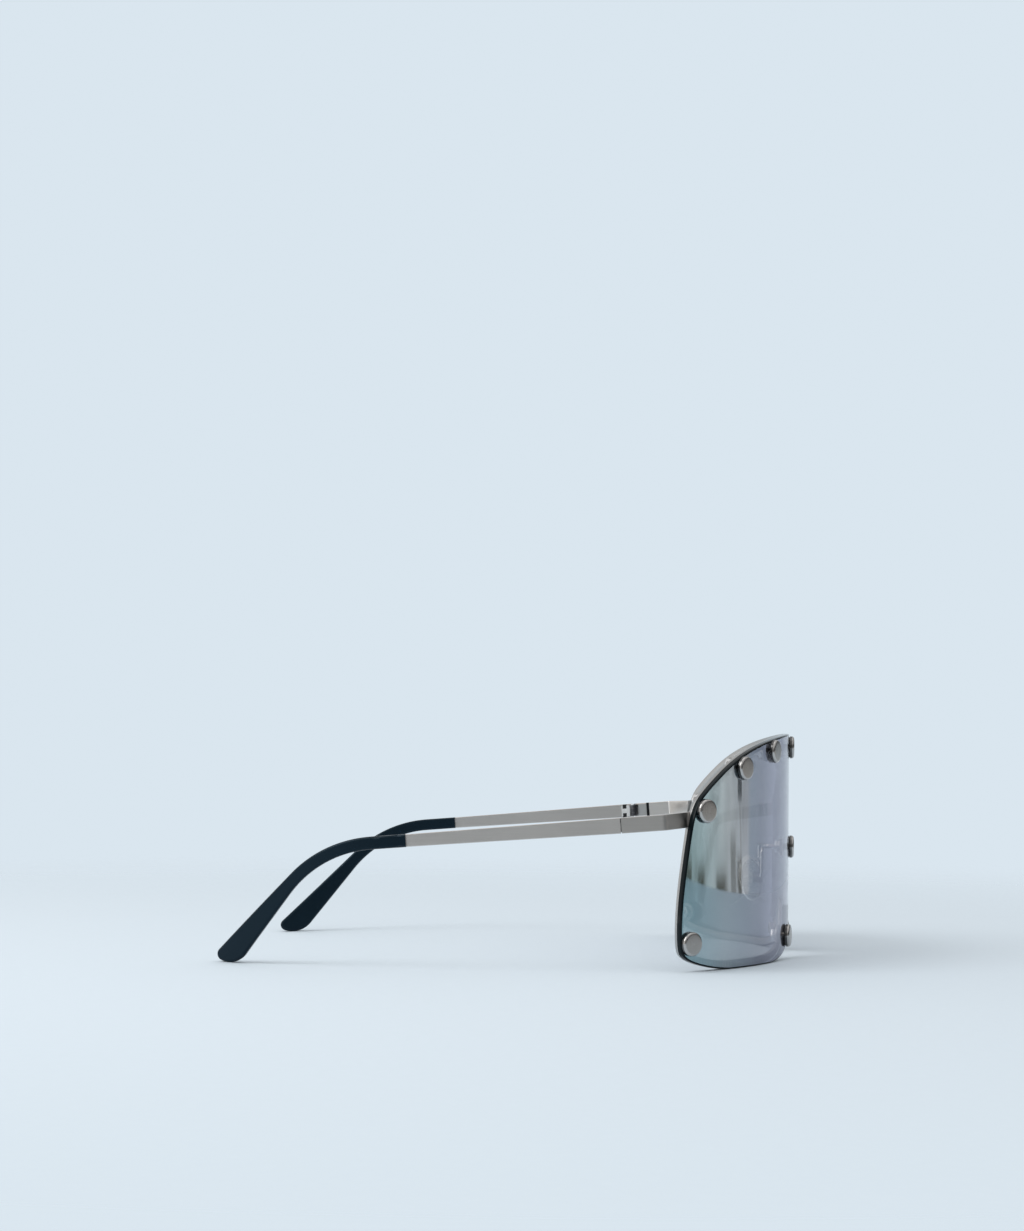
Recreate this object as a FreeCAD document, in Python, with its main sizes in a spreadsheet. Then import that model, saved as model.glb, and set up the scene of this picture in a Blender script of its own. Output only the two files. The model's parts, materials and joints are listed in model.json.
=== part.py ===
"""Shield sunglasses, standing open on their lens and tips.

X is across the face (wearer's right at minus X), Y runs from the lens back to the tips, Z is up.
The lens is one plate bent to an upright cylinder. A steel rim follows its edge from behind, studs
clamp the two together, and flat temples fold on screw hinges at the ends of the rim.
"""
import FreeCAD, Part
import math
import os

from FreeCAD import Placement, Rotation, Vector

# Driving dimensions in millimetres and degrees, one spreadsheet cell each.
SIZES = {
    # Lens plate, measured round its outer face.
    "front_radius": 87.1,
    "lens_thick": 1.8,
    "lens_half_arc": 78.2,
    "lens_high": 67.3,
    "notch_half_arc": 25.0,
    "notch_high": 15.0,
    # Rim band behind the lens edge.
    "rim_wide": 2.2,
    "rim_inset": 0.2,
    "rim_deep": 1.2,
    "lug_dia": 6.0,
    "lug_thick": 1.0,
    # Studs through lens and lugs.
    "stud_head_dia": 6.8,
    "stud_head_high": 1.3,
    "stud_round": 0.4,
    "stud_shank_dia": 2.0,
    "washer_dia": 6.2,
    "washer_thick": 0.3,
    "nut_dia": 4.2,
    "nut_high": 1.4,
    "nut_gap": 0.1,
    # Hinge place: outer face of the bars and pin, from the lens edge; pin under the side stud.
    "hinge_out": 8.19,
    "hinge_behind": 20.22,
    "hinge_under_stud": 4.02,
    "temple_drop": 4.7,
    "butt_gap": 0.24,
    # Flat bars of the end pieces and temples.
    "bar_thick": 1.3,
    "bar_high_hinge": 4.4,
    "bar_high_tip": 3.5,
    "bar_long": 60.6,
    "bar_edge_round": 0.2,
    "end_straight": 11.5,
    "end_bend_radius": 0.7,
    "end_gap": 0.5,
    # Three-knuckle hinge.
    "knuckle_dia": 2.6,
    "knuckle_clear": 0.2,
    "knuckle_mid_high": 1.5,
    "knuckle_end_high": 1.0,
    "knuckle_gap": 0.05,
    "leaf_thick": 1.0,
    "leaf_long": 4.2,
    "leaf_gap": 0.15,
    "leaf_notch": 1.3,
    "leaf_lip": 0.4,
    "relief_wide": 0.9,
    "relief_deep": 0.5,
    "hinge_screw_dia": 1.2,
    "hinge_head_dia": 2.0,
    "hinge_head_high": 0.4,
    "hinge_slot_wide": 0.3,
    # Temple tips and the core wires in them.
    "tip_straight": 24.2,
    "tip_bend_radius": 35.0,
    "tip_bend_turn": 44.5,
    "tip_turn_radius": 108.0,
    "tip_thick": 2.8,
    "tip_high": 3.6,
    "tip_heel_reach": 30.4,
    "tip_heel_radius": 6.7,
    "tip_toe_radius": 1.9,
    "tip_toe_turn": 62.0,
    "tip_edge_round": 0.7,
    "core_high": 1.5,
    "core_thick": 0.8,
    "core_long": 20.0,
    # Nose pads and what carries them.
    "bridge_wide": 10.0,
    "bridge_high": 5.0,
    "pad_half_apart": 11.6,
    "pad_back": 10.4,
    "pad_up": 23.8,
    "pad_splay": 24.0,
    "pad_lean": 12.0,
    "pad_tall": 13.0,
    "pad_wide": 7.2,
    "pad_thick": 2.3,
    "pad_round": 0.9,
    "pad_stand": 0.6,
    "stem_wide": 1.6,
    "stem_tall": 1.4,
    "box_deep": 3.0,
    "box_wide": 3.2,
    "box_tall": 3.2,
    "box_wall": 0.5,
    "pad_screw_dia": 0.8,
    "pad_head_dia": 1.3,
    "pad_head_high": 0.3,
    "arm_wire_dia": 1.0,
    "arm_bend_radius": 1.6,
    # Clearances, and the length by which cutting shapes overrun what they cut.
    "running_fit": 0.03,
    "seat_fit": 0.02,
    "overrun": 4.0,
}

# Corners of the lens outline from top centre to the notch, as shares of half arc and height. The lowest
# ones lie under the floor, where the plate is cut flat to stand.
OUTLINE_SHARES = [
    (0.176, 1.0),
    (0.481, 0.965),
    (0.686, 0.896),
    (0.843, 0.78),
    (0.924, 0.692),
    (0.955, 0.533),
    (0.989, 0.289),
    (0.994, 0.116),
    (0.974, 0.047),
    (0.781, -0.002),
    (0.566, -0.002),
]
# Corners of the nose notch, as shares of the notch's half arc and height.
NOTCH_SHARES = [(1.0, 0.0), (0.32, 0.33), (0.16, 1.0)]
# Stud centres as shares of the lens half arc and height; those at the side have a twin.
BROW_STUD_SHARES = (0.0, 0.938)
BRIDGE_STUD_SHARES = (0.0, 0.487)
SIDE_STUD_SHARES = [(0.403, 0.922), (0.655, 0.850), (0.876, 0.671), (0.191, 0.102), (0.946, 0.118)]
# Where the end pieces leave the rim, as a share of the lens half arc.
END_ARC_SHARE = 0.935
# How far back a pad arm runs before it turns, as a share of its whole way back.
ARM_RUN_SHARE = 0.6
# The most of a wall that a rounding may take.
ROUND_SHARE = 0.4

# Distances that several pieces share, worked out from the sheet.
LENS_BACK = "(sizes.front_radius - sizes.lens_thick)"
PIN_INSET = "(sizes.knuckle_dia / 2 + sizes.knuckle_clear)"
HINGE_HALF = "(sizes.knuckle_mid_high / 2 + sizes.knuckle_gap + sizes.knuckle_end_high)"
HINGE_HIGH = f"({SIDE_STUD_SHARES[2][1]} * sizes.lens_high - sizes.hinge_under_stud)"
PAD_START = "(sizes.box_deep / 2 + sizes.pad_stand)"

doc = FreeCAD.newDocument("shield_sunglasses")
sheet = doc.addObject("Spreadsheet::Sheet", "sizes")
for row, (alias, value) in enumerate(SIZES.items(), start=1):
    sheet.set(f"A{row}", alias)
    sheet.set(f"B{row}", str(value))
    sheet.setAlias(f"B{row}", alias)
doc.recompute()
nodes = []


def size(alias):
    """Return one driving dimension from the sheet."""
    return float(sheet.get(alias))


def bind(thing, expressions):
    """Bind properties of a document object to expressions on the sheet."""
    for path, expression in expressions.items():
        thing.setExpression(path, expression)
    return thing


def place_base(thing, base):
    """Bind the place of an object, given as expressions for some of x, y and z."""
    return bind(thing, {f"Placement.Base.{axis}": expression for axis, expression in base.items()})


def cylinder(name, radius, height, **base):
    """Add an upright cylinder whose sizes and place follow expressions."""
    thing = bind(doc.addObject("Part::Cylinder", name), {"Radius": radius, "Height": height})
    return place_base(thing, base)


def block(name, length, width, height, **base):
    """Add a box whose sizes and lowest corner follow expressions."""
    thing = bind(doc.addObject("Part::Box", name), {"Length": length, "Width": width, "Height": height})
    return place_base(thing, base)


def boolean(kind, name, base, tool):
    """Add a Part::Cut or Part::Common of two objects."""
    thing = doc.addObject(f"Part::{kind}", name)
    thing.Base = base
    thing.Tool = tool
    thing.Refine = False
    return thing


def join(name, shapes):
    """Add one fused object of several objects."""
    thing = doc.addObject("Part::MultiFuse", name)
    thing.Shapes = shapes
    thing.Refine = True
    return thing


def feature(name, shape):
    """Add an object that holds a shape worked out from the sheet."""
    thing = doc.addObject("Part::Feature", name)
    thing.Shape = shape
    return thing


def extrusion(name, profile, direction, forward, backward="0"):
    """Add a solid pushed out of a closed flat wire along a direction, with bound lengths."""
    thing = doc.addObject("Part::Extrusion", name)
    thing.Base = feature(f"{name}_profile", profile)
    thing.DirMode = "Custom"
    thing.Dir = direction
    thing.Solid = True
    return bind(thing, {"LengthFwd": forward, "LengthRev": backward})


def rounded(name, base, radius, wanted):
    """Add a fillet of one radius on the edges of an object that a test picks out."""
    doc.recompute()
    thing = doc.addObject("Part::Fillet", name)
    thing.Base = base
    edges = enumerate(base.Shape.Edges, start=1)
    thing.Edges = [(index, radius, radius) for index, edge in edges if wanted(edge)]
    return thing


def node(thing, label, placement=None):
    """Name a finished sub-part, give it its place and list it for the hand-in."""
    thing.Label = label
    if placement is not None:
        thing.Placement = placement
    nodes.append(thing)
    return thing


def twin(thing):
    """Add the mirror image of a right-hand sub-part for the left side."""
    label = thing.Label.replace("_right", "_left")
    other = doc.addObject("Part::Mirroring", f"{label}_mirror")
    other.Source = thing
    other.Normal = Vector(1, 0, 0)
    return node(other, label)


# Lens, rim and studs, round the upright axis of the front


def lens_outline():
    """Return the corners of the lens outline, unrolled, going once round."""
    half = [(s * size("lens_half_arc"), z * size("lens_high")) for s, z in OUTLINE_SHARES]
    half += [(s * size("notch_half_arc"), z * size("notch_high")) for s, z in NOTCH_SHARES]
    return half + [(-s, z) for s, z in reversed(half)]


def inset_outline(corners, inset):
    """Return an outline moved inwards by a distance, corner by corner."""
    moved = []
    for index, (s, z) in enumerate(corners):
        before, after = corners[index - 1], corners[(index + 1) % len(corners)]
        normals = []
        for (s0, z0), (s1, z1) in ((before, (s, z)), ((s, z), after)):
            run = math.hypot(s1 - s0, z1 - z0)
            normals.append(((z1 - z0) / run, (s0 - s1) / run))
        (a, b), (c, d) = normals
        step = inset / (1 + a * c + b * d)
        moved.append((s + step * (a + c), z + step * (b + d)))
    return moved


def outline_edges(corners, depth):
    """Return an outline as a flat ring of edges at a depth from the front axis, as seen from the axis.

    Each corner is rounded by a parabola from the middle of one side to the middle of the next.
    """
    radius = size("front_radius")
    points = [Vector(-depth * math.tan(s / radius), radius - depth, z) for s, z in corners]
    edges = []
    for index, corner in enumerate(points):
        before, after = points[index - 1], points[(index + 1) % len(points)]
        curve = Part.BezierCurve()
        curve.setPoles([(before + corner) / 2, corner, (corner + after) / 2])
        edges.append(curve.toShape())
    return edges


def outline_prism(name, corners):
    """Add the wedge of space inside an outline, with every wall square to the lens face."""
    inner = size("front_radius") - size("lens_thick") - size("rim_deep")
    nearest = inner * math.cos(size("lens_half_arc") / size("front_radius")) - size("overrun")
    rings = [outline_edges(corners, depth) for depth in (size("front_radius") + size("overrun"), nearest)]
    faces = [Part.makeRuledSurface(outer, inner) for outer, inner in zip(*rings)]
    faces += [Part.Face(Part.Wire(ring)) for ring in rings]
    shell = Part.makeShell(faces)
    shell.sewShape()
    return feature(name, Part.makeSolid(shell))


def arc_angle(share):
    """Return the angle round the front axis, in degrees, of a share of the lens half arc."""
    return math.degrees(share * size("lens_half_arc") / size("front_radius"))


def rim_stud_places():
    """Return angle and height of each stud that clamps the rim."""
    places = [(arc_angle(BROW_STUD_SHARES[0]), BROW_STUD_SHARES[1] * size("lens_high"))]
    for arc_share, high_share in SIDE_STUD_SHARES:
        for side in (1, -1):
            places.append((side * arc_angle(arc_share), high_share * size("lens_high")))
    return places


def bridge_stud_place():
    """Return angle and height of the stud over the notch, which clamps the pad bridge."""
    return arc_angle(BRIDGE_STUD_SHARES[0]), BRIDGE_STUD_SHARES[1] * size("lens_high")


def round_the_front(angle, high, radius):
    """Return a placement on the front cylinder whose Z axis points outwards."""
    turn = Rotation(Vector(0, 0, 1), -angle)
    outward = turn.multVec(Vector(0, -1, 0))
    base = Vector(0, size("front_radius"), high) + outward * radius
    return Placement(base, turn * Rotation(Vector(1, 0, 0), 90))


def at_studs(name, shape, radius, places):
    """Add copies of a shape, modelled along Z, at places round the front cylinder."""
    copies = []
    for angle, high in places:
        copy = shape.copy()
        copy.Placement = round_the_front(angle, high, radius)
        copies.append(copy)
    return feature(name, Part.Compound(copies))


def stud_rods(name, diameter, places):
    """Add round rods that pass through lens and lugs at the studs."""
    rod = Part.makeCylinder(diameter / 2, 4 * size("overrun"))
    return at_studs(name, rod, size("front_radius") - 2 * size("overrun"), places)


def drilled(name, base, places):
    """Add an object with the holes that the stud shanks pass through."""
    bores = stud_rods(f"{name}_bores", size("stud_shank_dia") + 2 * size("seat_fit"), places)
    return boolean("Cut", name, base, bores)


def nut_seat():
    """Return the radius, from the front axis, of the faces that the nuts bear on."""
    return size("front_radius") - size("lens_thick") - size("lug_thick")


def spot_faced(name, base, places):
    """Add an object with a flat round seat for the nut of each stud."""
    mill = Part.makeCylinder(size("nut_dia") / 2 + size("nut_gap"), size("overrun"))
    mills = at_studs(f"{name}_mills", mill, nut_seat() - size("overrun"), places)
    return boolean("Cut", name, base, mills)


def front_shell(name, outer, inner):
    """Add the full ring between two radii round the front axis, from the floor to above the lens."""
    high = "sizes.lens_high + sizes.overrun"
    whole = cylinder(f"{name}_out", outer, high, y="sizes.front_radius")
    hollow = cylinder(f"{name}_in", inner, high, y="sizes.front_radius")
    return boolean("Cut", name, whole, hollow)


def make_lens(prism):
    """Add the bent lens plate with its stud holes."""
    shell = front_shell("lens_shell", "sizes.front_radius", LENS_BACK)
    plate = boolean("Common", "lens_plate", shell, prism)
    node(drilled("lens_drilled", plate, rim_stud_places() + [bridge_stud_place()]), "shield_lens")


def make_rim():
    """Add the rim band with the lugs that the studs clamp.

    Returns the wedge of space inside the rim's outer wall.
    """
    outline = inset_outline(lens_outline(), size("rim_inset"))
    outside = outline_prism("rim_outside", outline)
    inside = outline_prism("rim_inside", inset_outline(outline, size("rim_wide")))
    band = front_shell("rim_band", LENS_BACK, f"{LENS_BACK} - sizes.rim_deep")
    ring = boolean("Cut", "rim_ring", boolean("Common", "rim_plate", band, outside), inside)
    shell = front_shell("lug_shell", LENS_BACK, f"{LENS_BACK} - sizes.lug_thick")
    rods = stud_rods("lug_rods", size("lug_dia"), rim_stud_places())
    lugs = boolean("Common", "lugs", boolean("Common", "lug_sheet", shell, outside), rods)
    seated = spot_faced("rim_seated", join("rim_with_lugs", [ring, lugs]), rim_stud_places())
    node(drilled("rim_drilled", seated, rim_stud_places()), "front_rim")
    return outside


def make_studs():
    """Add the studs, the washers under their heads and the nuts behind the lens."""
    places = rim_stud_places() + [bridge_stud_place()]
    head_high, washer = size("stud_head_high"), size("washer_thick")
    head = Part.makeCylinder(size("stud_head_dia") / 2, head_high)
    face_rim = [edge for edge in head.Edges if edge.BoundBox.ZMin > head_high / 2]
    head = head.makeFillet(min(size("stud_round"), ROUND_SHARE * head_high), face_rim)
    behind = washer + size("lens_thick") + size("lug_thick") + size("nut_high")
    shank = Part.makeCylinder(size("stud_shank_dia") / 2, behind, Vector(0, 0, -behind))
    stud = head.fuse(shank).removeSplitter()
    node(at_studs("studs", stud, size("front_radius") + washer, places), "lens_studs")

    hole = Part.makeCylinder(size("stud_shank_dia") / 2 + size("seat_fit"), size("overrun"))
    ring = Part.makeCylinder(size("washer_dia") / 2, washer).cut(hole)
    node(at_studs("washers", ring, size("front_radius"), places), "stud_washers")

    corners = [Vector(size("nut_dia") / 2, 0, 0)]
    for turn in range(60, 420, 60):
        corners.append(Rotation(Vector(0, 0, 1), turn).multVec(corners[0]))
    hexagon = Part.Face(Part.makePolygon(corners))
    nut = hexagon.extrude(Vector(0, 0, size("nut_high"))).cut(hole)
    node(at_studs("nuts", nut, nut_seat() - size("nut_high"), places), "stud_nuts")


# Hinge frame: Y along the temple, Z along the pin, minus X outboard, origin at the middle of the pin


def pin_inset():
    """Return the distance from the bars' inner face to the pin."""
    return size("knuckle_dia") / 2 + size("knuckle_clear")


def hinge_high():
    """Return the height of the hinges over the floor."""
    return SIDE_STUD_SHARES[2][1] * size("lens_high") - size("hinge_under_stud")


def rim_edge(radius):
    """Return the point of the rim's outer wall where the right end piece leaves it, at a radius."""
    angle = math.radians(arc_angle(END_ARC_SHARE))
    high = hinge_high() + size("hinge_behind") * math.tan(math.radians(size("temple_drop")))
    return Vector(-radius * math.sin(angle), size("front_radius") - radius * math.cos(angle), high)


def hinge_place():
    """Return the placement of the right hinge frame."""
    edge = rim_edge(size("front_radius"))
    across = edge.x - size("hinge_out") + size("bar_thick") + pin_inset()
    base = Vector(across, edge.y + size("hinge_behind"), hinge_high())
    return Placement(base, Rotation(Vector(1, 0, 0), -size("temple_drop")))


def end_outline():
    """Return the outline, from above, of the end piece's bent bar in the hinge frame."""
    behind_lens = size("lens_thick") + size("end_gap") + size("bar_thick") / 2
    seat = rim_edge(size("front_radius") - behind_lens)
    target = hinge_place().inverse().multVec(seat)
    inner, radius = -pin_inset(), size("end_bend_radius")
    pivot = Vector(inner + radius, -size("end_straight"), 0)
    reach = Vector(target.x, target.y, 0) - pivot
    middle = radius + size("bar_thick") / 2
    turn = reach.getAngle(Vector(-1, 0, 0)) - math.acos(middle / reach.Length)
    edges = []
    rows = []
    for bend in (radius, radius + size("bar_thick")):
        start = Vector(pivot.x - bend, -size("butt_gap") / 2, 0)
        arc = [pivot + Rotation(Vector(0, 0, 1), math.degrees(part)).multVec(Vector(-bend, 0, 0))
               for part in (0, turn / 2, turn)]
        ahead = Rotation(Vector(0, 0, 1), math.degrees(turn)).multVec(Vector(0, -1, 0))
        end = arc[2] + ahead * (reach.Length + size("overrun"))
        edges += [Part.makeLine(start, arc[0]), Part.Arc(*arc).toShape(), Part.makeLine(arc[2], end)]
        rows.append((start, end))
    edges += [Part.makeLine(first, second) for first, second in zip(*rows)]
    return Part.Wire(Part.__sortEdges__(edges))


def make_end_piece(inside_rim):
    """Add the right end piece: a flat bar bent inwards to the rim and cut off at its outer wall.

    A relief groove across its inner face marks where the hinge leaf ends.
    """
    half = "sizes.bar_high_hinge / 2"
    bar = extrusion("end_bar", end_outline(), Vector(0, 0, 1), half, half)
    flat_edge = size("bar_high_hinge") * ROUND_SHARE
    soft = rounded(
        "end_soft", bar, min(size("bar_edge_round"), ROUND_SHARE * size("bar_thick")),
        lambda edge: edge.BoundBox.ZLength < flat_edge and edge.Length > 2 * size("bar_thick"))
    relief = block(
        "end_relief", "sizes.relief_deep + sizes.overrun", "sizes.relief_wide", "2 * sizes.bar_high_hinge",
        x=f"-{PIN_INSET} - sizes.relief_deep", y="-sizes.leaf_long - sizes.relief_wide",
        z="-sizes.bar_high_hinge")
    slotted = boolean("Cut", "end_slotted", soft, relief)
    slotted.Placement = hinge_place()
    trimmed = boolean("Cut", "end_trimmed", slotted, inside_rim)
    doc.recompute()
    behind_rim = max(trimmed.Shape.Solids, key=lambda solid: solid.CenterOfMass.y)
    return node(feature("end_kept", behind_rim), "end_piece_right")


def leaf(name, start, stop, low, high):
    """Add part of a leaf on the bars' inner face, between two places along and up the hinge frame."""
    return block(
        name, "sizes.leaf_thick", f"({stop}) - ({start})", f"({high}) - ({low})",
        x=f"-{PIN_INSET}", y=start, z=low)


def barrel(name, low, high):
    """Add one hinge barrel between two heights along the pin."""
    return cylinder(name, "sizes.knuckle_dia / 2", f"({high}) - ({low})", z=low)


def bored(name, solid, fit):
    """Add a leaf with the hole for the hinge screw."""
    radius = f"sizes.hinge_screw_dia / 2 + sizes.{fit}"
    hole = cylinder(f"{name}_hole", radius, f"2 * {HINGE_HALF} + 2 * sizes.overrun",
                    z=f"-{HINGE_HALF} - sizes.overrun")
    return boolean("Cut", name, solid, hole)


def make_hinge():
    """Add both leaves of the right hinge and the screw that they turn on."""
    place = hinge_place()
    mid = "sizes.knuckle_mid_high / 2"
    low_end = f"({mid} + sizes.knuckle_gap)"
    clear = "(sizes.knuckle_dia / 2 + sizes.leaf_gap)"
    end = "sizes.leaf_long"

    # Temple leaf: the middle barrel on a web, and a notched plate that stands clear of the end barrels.
    lip = f"({end} - sizes.leaf_lip)"
    temple_parts = [
        barrel("barrel_mid", f"-{mid}", mid),
        leaf("temple_web", "0", end, f"-{mid}", mid),
        leaf("temple_root", clear, f"{lip} - sizes.leaf_notch", f"-{HINGE_HALF}", HINGE_HALF),
        leaf("temple_lip", lip, end, f"-{HINGE_HALF}", HINGE_HALF),
    ]
    temple_leaf = bored("temple_leaf", join("temple_leaf_solid", temple_parts), "running_fit")
    node(temple_leaf, "hinge_temple_leaf_right", place)

    # Front leaf: two end barrels on webs, and a plate that stands clear of the middle barrel.
    front_parts = [leaf("front_plate", f"-{end}", f"-{clear}", f"-{HINGE_HALF}", HINGE_HALF)]
    for tag, low, high in (("top", low_end, HINGE_HALF), ("foot", f"-{HINGE_HALF}", f"-{low_end}")):
        front_parts.append(barrel(f"barrel_{tag}", low, high))
        front_parts.append(leaf(f"front_web_{tag}", f"-{end}", "0", low, high))
    front_leaf = bored("front_leaf", join("front_leaf_solid", front_parts), "seat_fit")
    node(front_leaf, "hinge_front_leaf_right", place)

    # Screw: a shank through the three barrels with a slotted head on top.
    shank = cylinder("hinge_shank", "sizes.hinge_screw_dia / 2", f"2 * {HINGE_HALF}", z=f"-{HINGE_HALF}")
    head = cylinder("hinge_head", "sizes.hinge_head_dia / 2", "sizes.hinge_head_high", z=HINGE_HALF)
    slot = block(
        "hinge_slot", "sizes.hinge_head_dia", "sizes.hinge_slot_wide", "sizes.hinge_head_high",
        x="-sizes.hinge_head_dia / 2", y="-sizes.hinge_slot_wide / 2",
        z=f"{HINGE_HALF} + sizes.hinge_head_high / 2")
    screw = boolean("Cut", "hinge_screw", join("hinge_screw_solid", [shank, head]), slot)
    node(screw, "hinge_screw_right", place)


# Temples and tips, in the hinge frame


def tip_corner():
    """Return the corner that the tip's middle line would have without its bend."""
    return Vector(0, size("bar_long") + size("tip_straight"), 0)


def tip_along():
    """Return the direction of the tip's middle line behind the bend."""
    turn = math.radians(size("tip_bend_turn"))
    return Vector(0, math.cos(turn), -math.sin(turn))


def toe_way():
    """Return the direction in which the paddle's heel and toe meet."""
    turn = math.radians(size("tip_toe_turn"))
    return Vector(0, math.cos(turn), -math.sin(turn))


def paddle_rounds():
    """Return centre and radius of the toe and of the heel that end the tip.

    The heel stands on the floor, and the toe touches it from within.
    """
    drop = math.radians(size("temple_drop"))
    heel_radius, toe_radius = size("tip_heel_radius"), size("tip_toe_radius")
    reach = tip_corner().y + size("tip_heel_reach")
    lift = heel_radius - hinge_high() + reach * math.sin(drop)
    heel = Vector(0, reach, lift / math.cos(drop))
    return (heel + toe_way() * (heel_radius - toe_radius), toe_radius), (heel, heel_radius)


def tangent_normal(way, gap):
    """Return the unit normal of a line that passes two points, a vector apart, at heights gap apart."""
    angle = math.atan2(way.z, way.y) + math.acos(gap / way.Length)
    return Vector(0, math.cos(angle), math.sin(angle))


def tip_profile(half, start, rounds, meet):
    """Return the side outline of a bar that follows the bend of the tip.

    half is half its height up to the bend and start is where it begins along the temple. rounds holds
    centre and radius of the rounds that end its upper and its lower side, which touch in the direction meet.
    """
    radius = size("tip_bend_radius")
    middle_turn = math.radians(size("tip_bend_turn") / 2)
    pivot = tip_corner() - Vector(0, radius * math.tan(middle_turn), radius)
    up = Vector(0, 0, 1)
    lower_centre, lower_radius = rounds[1]
    touch = lower_centre + meet * lower_radius
    edges = []
    firsts = []
    for side, (centre, end_radius) in zip((1, -1), rounds):
        bend = radius + side * half
        normal = tangent_normal(centre - pivot, bend - side * end_radius)
        first = Vector(0, start, side * half)
        top = pivot + up * bend
        turned = pivot + normal * bend
        tail = centre + normal * side * end_radius
        between = pivot + (normal + up).normalize() * bend
        outmost = centre + (normal * side + meet).normalize() * end_radius
        edges += [Part.makeLine(first, top), Part.Arc(top, between, turned).toShape()]
        edges += [Part.makeLine(turned, tail), Part.Arc(tail, outmost, touch).toShape()]
        firsts.append(first)
    edges.append(Part.makeLine(*firsts))
    return Part.Wire(Part.__sortEdges__(edges))


def core_profile(half):
    """Return the side outline of the core wire, or of its slot, with half its height."""
    end = tip_corner() + tip_along() * size("core_long")
    return tip_profile(half, size("bar_long") - size("bar_thick"), [(end, half)] * 2, tip_along())


def turned_bar(name, profile, thick):
    """Add a bar with a side outline that carries on from the temple and turns inwards behind it."""
    slab = extrusion(f"{name}_slab", profile, Vector(1, 0, 0),
                     "sizes.tip_turn_radius / 2", "sizes.tip_turn_radius / 2")
    radius = "sizes.tip_turn_radius"
    base = {"x": f"{radius} - {PIN_INSET} - sizes.bar_thick / 2", "y": "sizes.bar_long",
            "z": f"-{HINGE_HIGH} - sizes.overrun"}
    rings = []
    for tag, sign in (("out", "+"), ("in", "-")):
        rings.append(cylinder(f"{name}_{tag}", f"{radius} {sign} ({thick}) / 2",
                              f"{HINGE_HIGH} + 2 * sizes.overrun", **base))
    return boolean("Common", name, slab, boolean("Cut", f"{name}_sheet", *rings))


def make_temple():
    """Add the right temple: a flat tapering bar that ends in a thin core wire."""
    start, stop = size("butt_gap") / 2, size("bar_long")
    low, high = size("bar_high_hinge") / 2, size("bar_high_tip") / 2
    side = Part.makePolygon([
        Vector(0, start, -low), Vector(0, start, low), Vector(0, stop, high),
        Vector(0, stop, -high), Vector(0, start, -low)])
    bar = extrusion("temple_bar", side, Vector(-1, 0, 0), "sizes.bar_thick")
    place_base(bar, {"x": f"-{PIN_INSET}"})
    soft = rounded("temple_soft", bar, min(size("bar_edge_round"), ROUND_SHARE * size("bar_thick")),
                   lambda edge: edge.Length > stop / 2)
    core = turned_bar("core", core_profile(size("core_high") / 2), "sizes.core_thick")
    node(join("temple_solid", [soft, core]), "temple_right", hinge_place())


def make_tip():
    """Add the right tip: a rounded bar with a paddle end and a slot for the core wire."""
    begin = size("bar_long")
    profile = tip_profile(size("tip_high") / 2, begin, paddle_rounds(), toe_way())
    body = turned_bar("tip_body", profile, "sizes.tip_thick")
    thick = size("tip_thick")
    soft = rounded("tip_soft", body, min(size("tip_edge_round"), ROUND_SHARE * thick),
                   lambda edge: edge.Length > thick and edge.BoundBox.YMax > begin + thick)
    hollow = core_profile(size("core_high") / 2 + size("seat_fit"))
    slot = turned_bar("core_slot", hollow, "sizes.core_thick + 2 * sizes.seat_fit")
    node(boolean("Cut", "tip", soft, slot), "temple_tip_right", hinge_place())


# Pad frame: origin on the pad screw, X from the box to the pad, Y along the screw, Z up the pad


def pad_place():
    """Return the placement of the right pad frame."""
    turn = Rotation(Vector(0, 0, 1), size("pad_splay")) * Rotation(Vector(0, 1, 0), size("pad_lean"))
    return Placement(Vector(-size("pad_half_apart"), size("pad_back"), size("pad_up")), turn)


def make_bridge():
    """Add the plate behind the lens, clamped by the stud over the notch, that carries the pad arms.

    Returns the plate before its hole is drilled.
    """
    shell = front_shell("bridge_shell", LENS_BACK, f"{LENS_BACK} - sizes.lug_thick")
    middle = f"{BRIDGE_STUD_SHARES[1]} * sizes.lens_high"
    blank = block(
        "bridge_blank", "sizes.bridge_wide", "sizes.front_radius", "sizes.bridge_high",
        x="-sizes.bridge_wide / 2", z=f"{middle} - sizes.bridge_high / 2")
    plate = boolean("Common", "bridge_plate", shell, blank)
    seated = spot_faced("bridge_seated", plate, [bridge_stud_place()])
    node(drilled("bridge_drilled", seated, [bridge_stud_place()]), "pad_bridge")
    return plate


def screw_bore(name, fit):
    """Add the round space for the pad screw, front to back, with a clearance."""
    bore = cylinder(name, f"sizes.pad_screw_dia / 2 + sizes.{fit}", "2 * sizes.box_wide")
    bore.Placement.Rotation = Rotation(Vector(1, 0, 0), -90)
    return place_base(bore, {"y": "-sizes.box_wide"})


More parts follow.
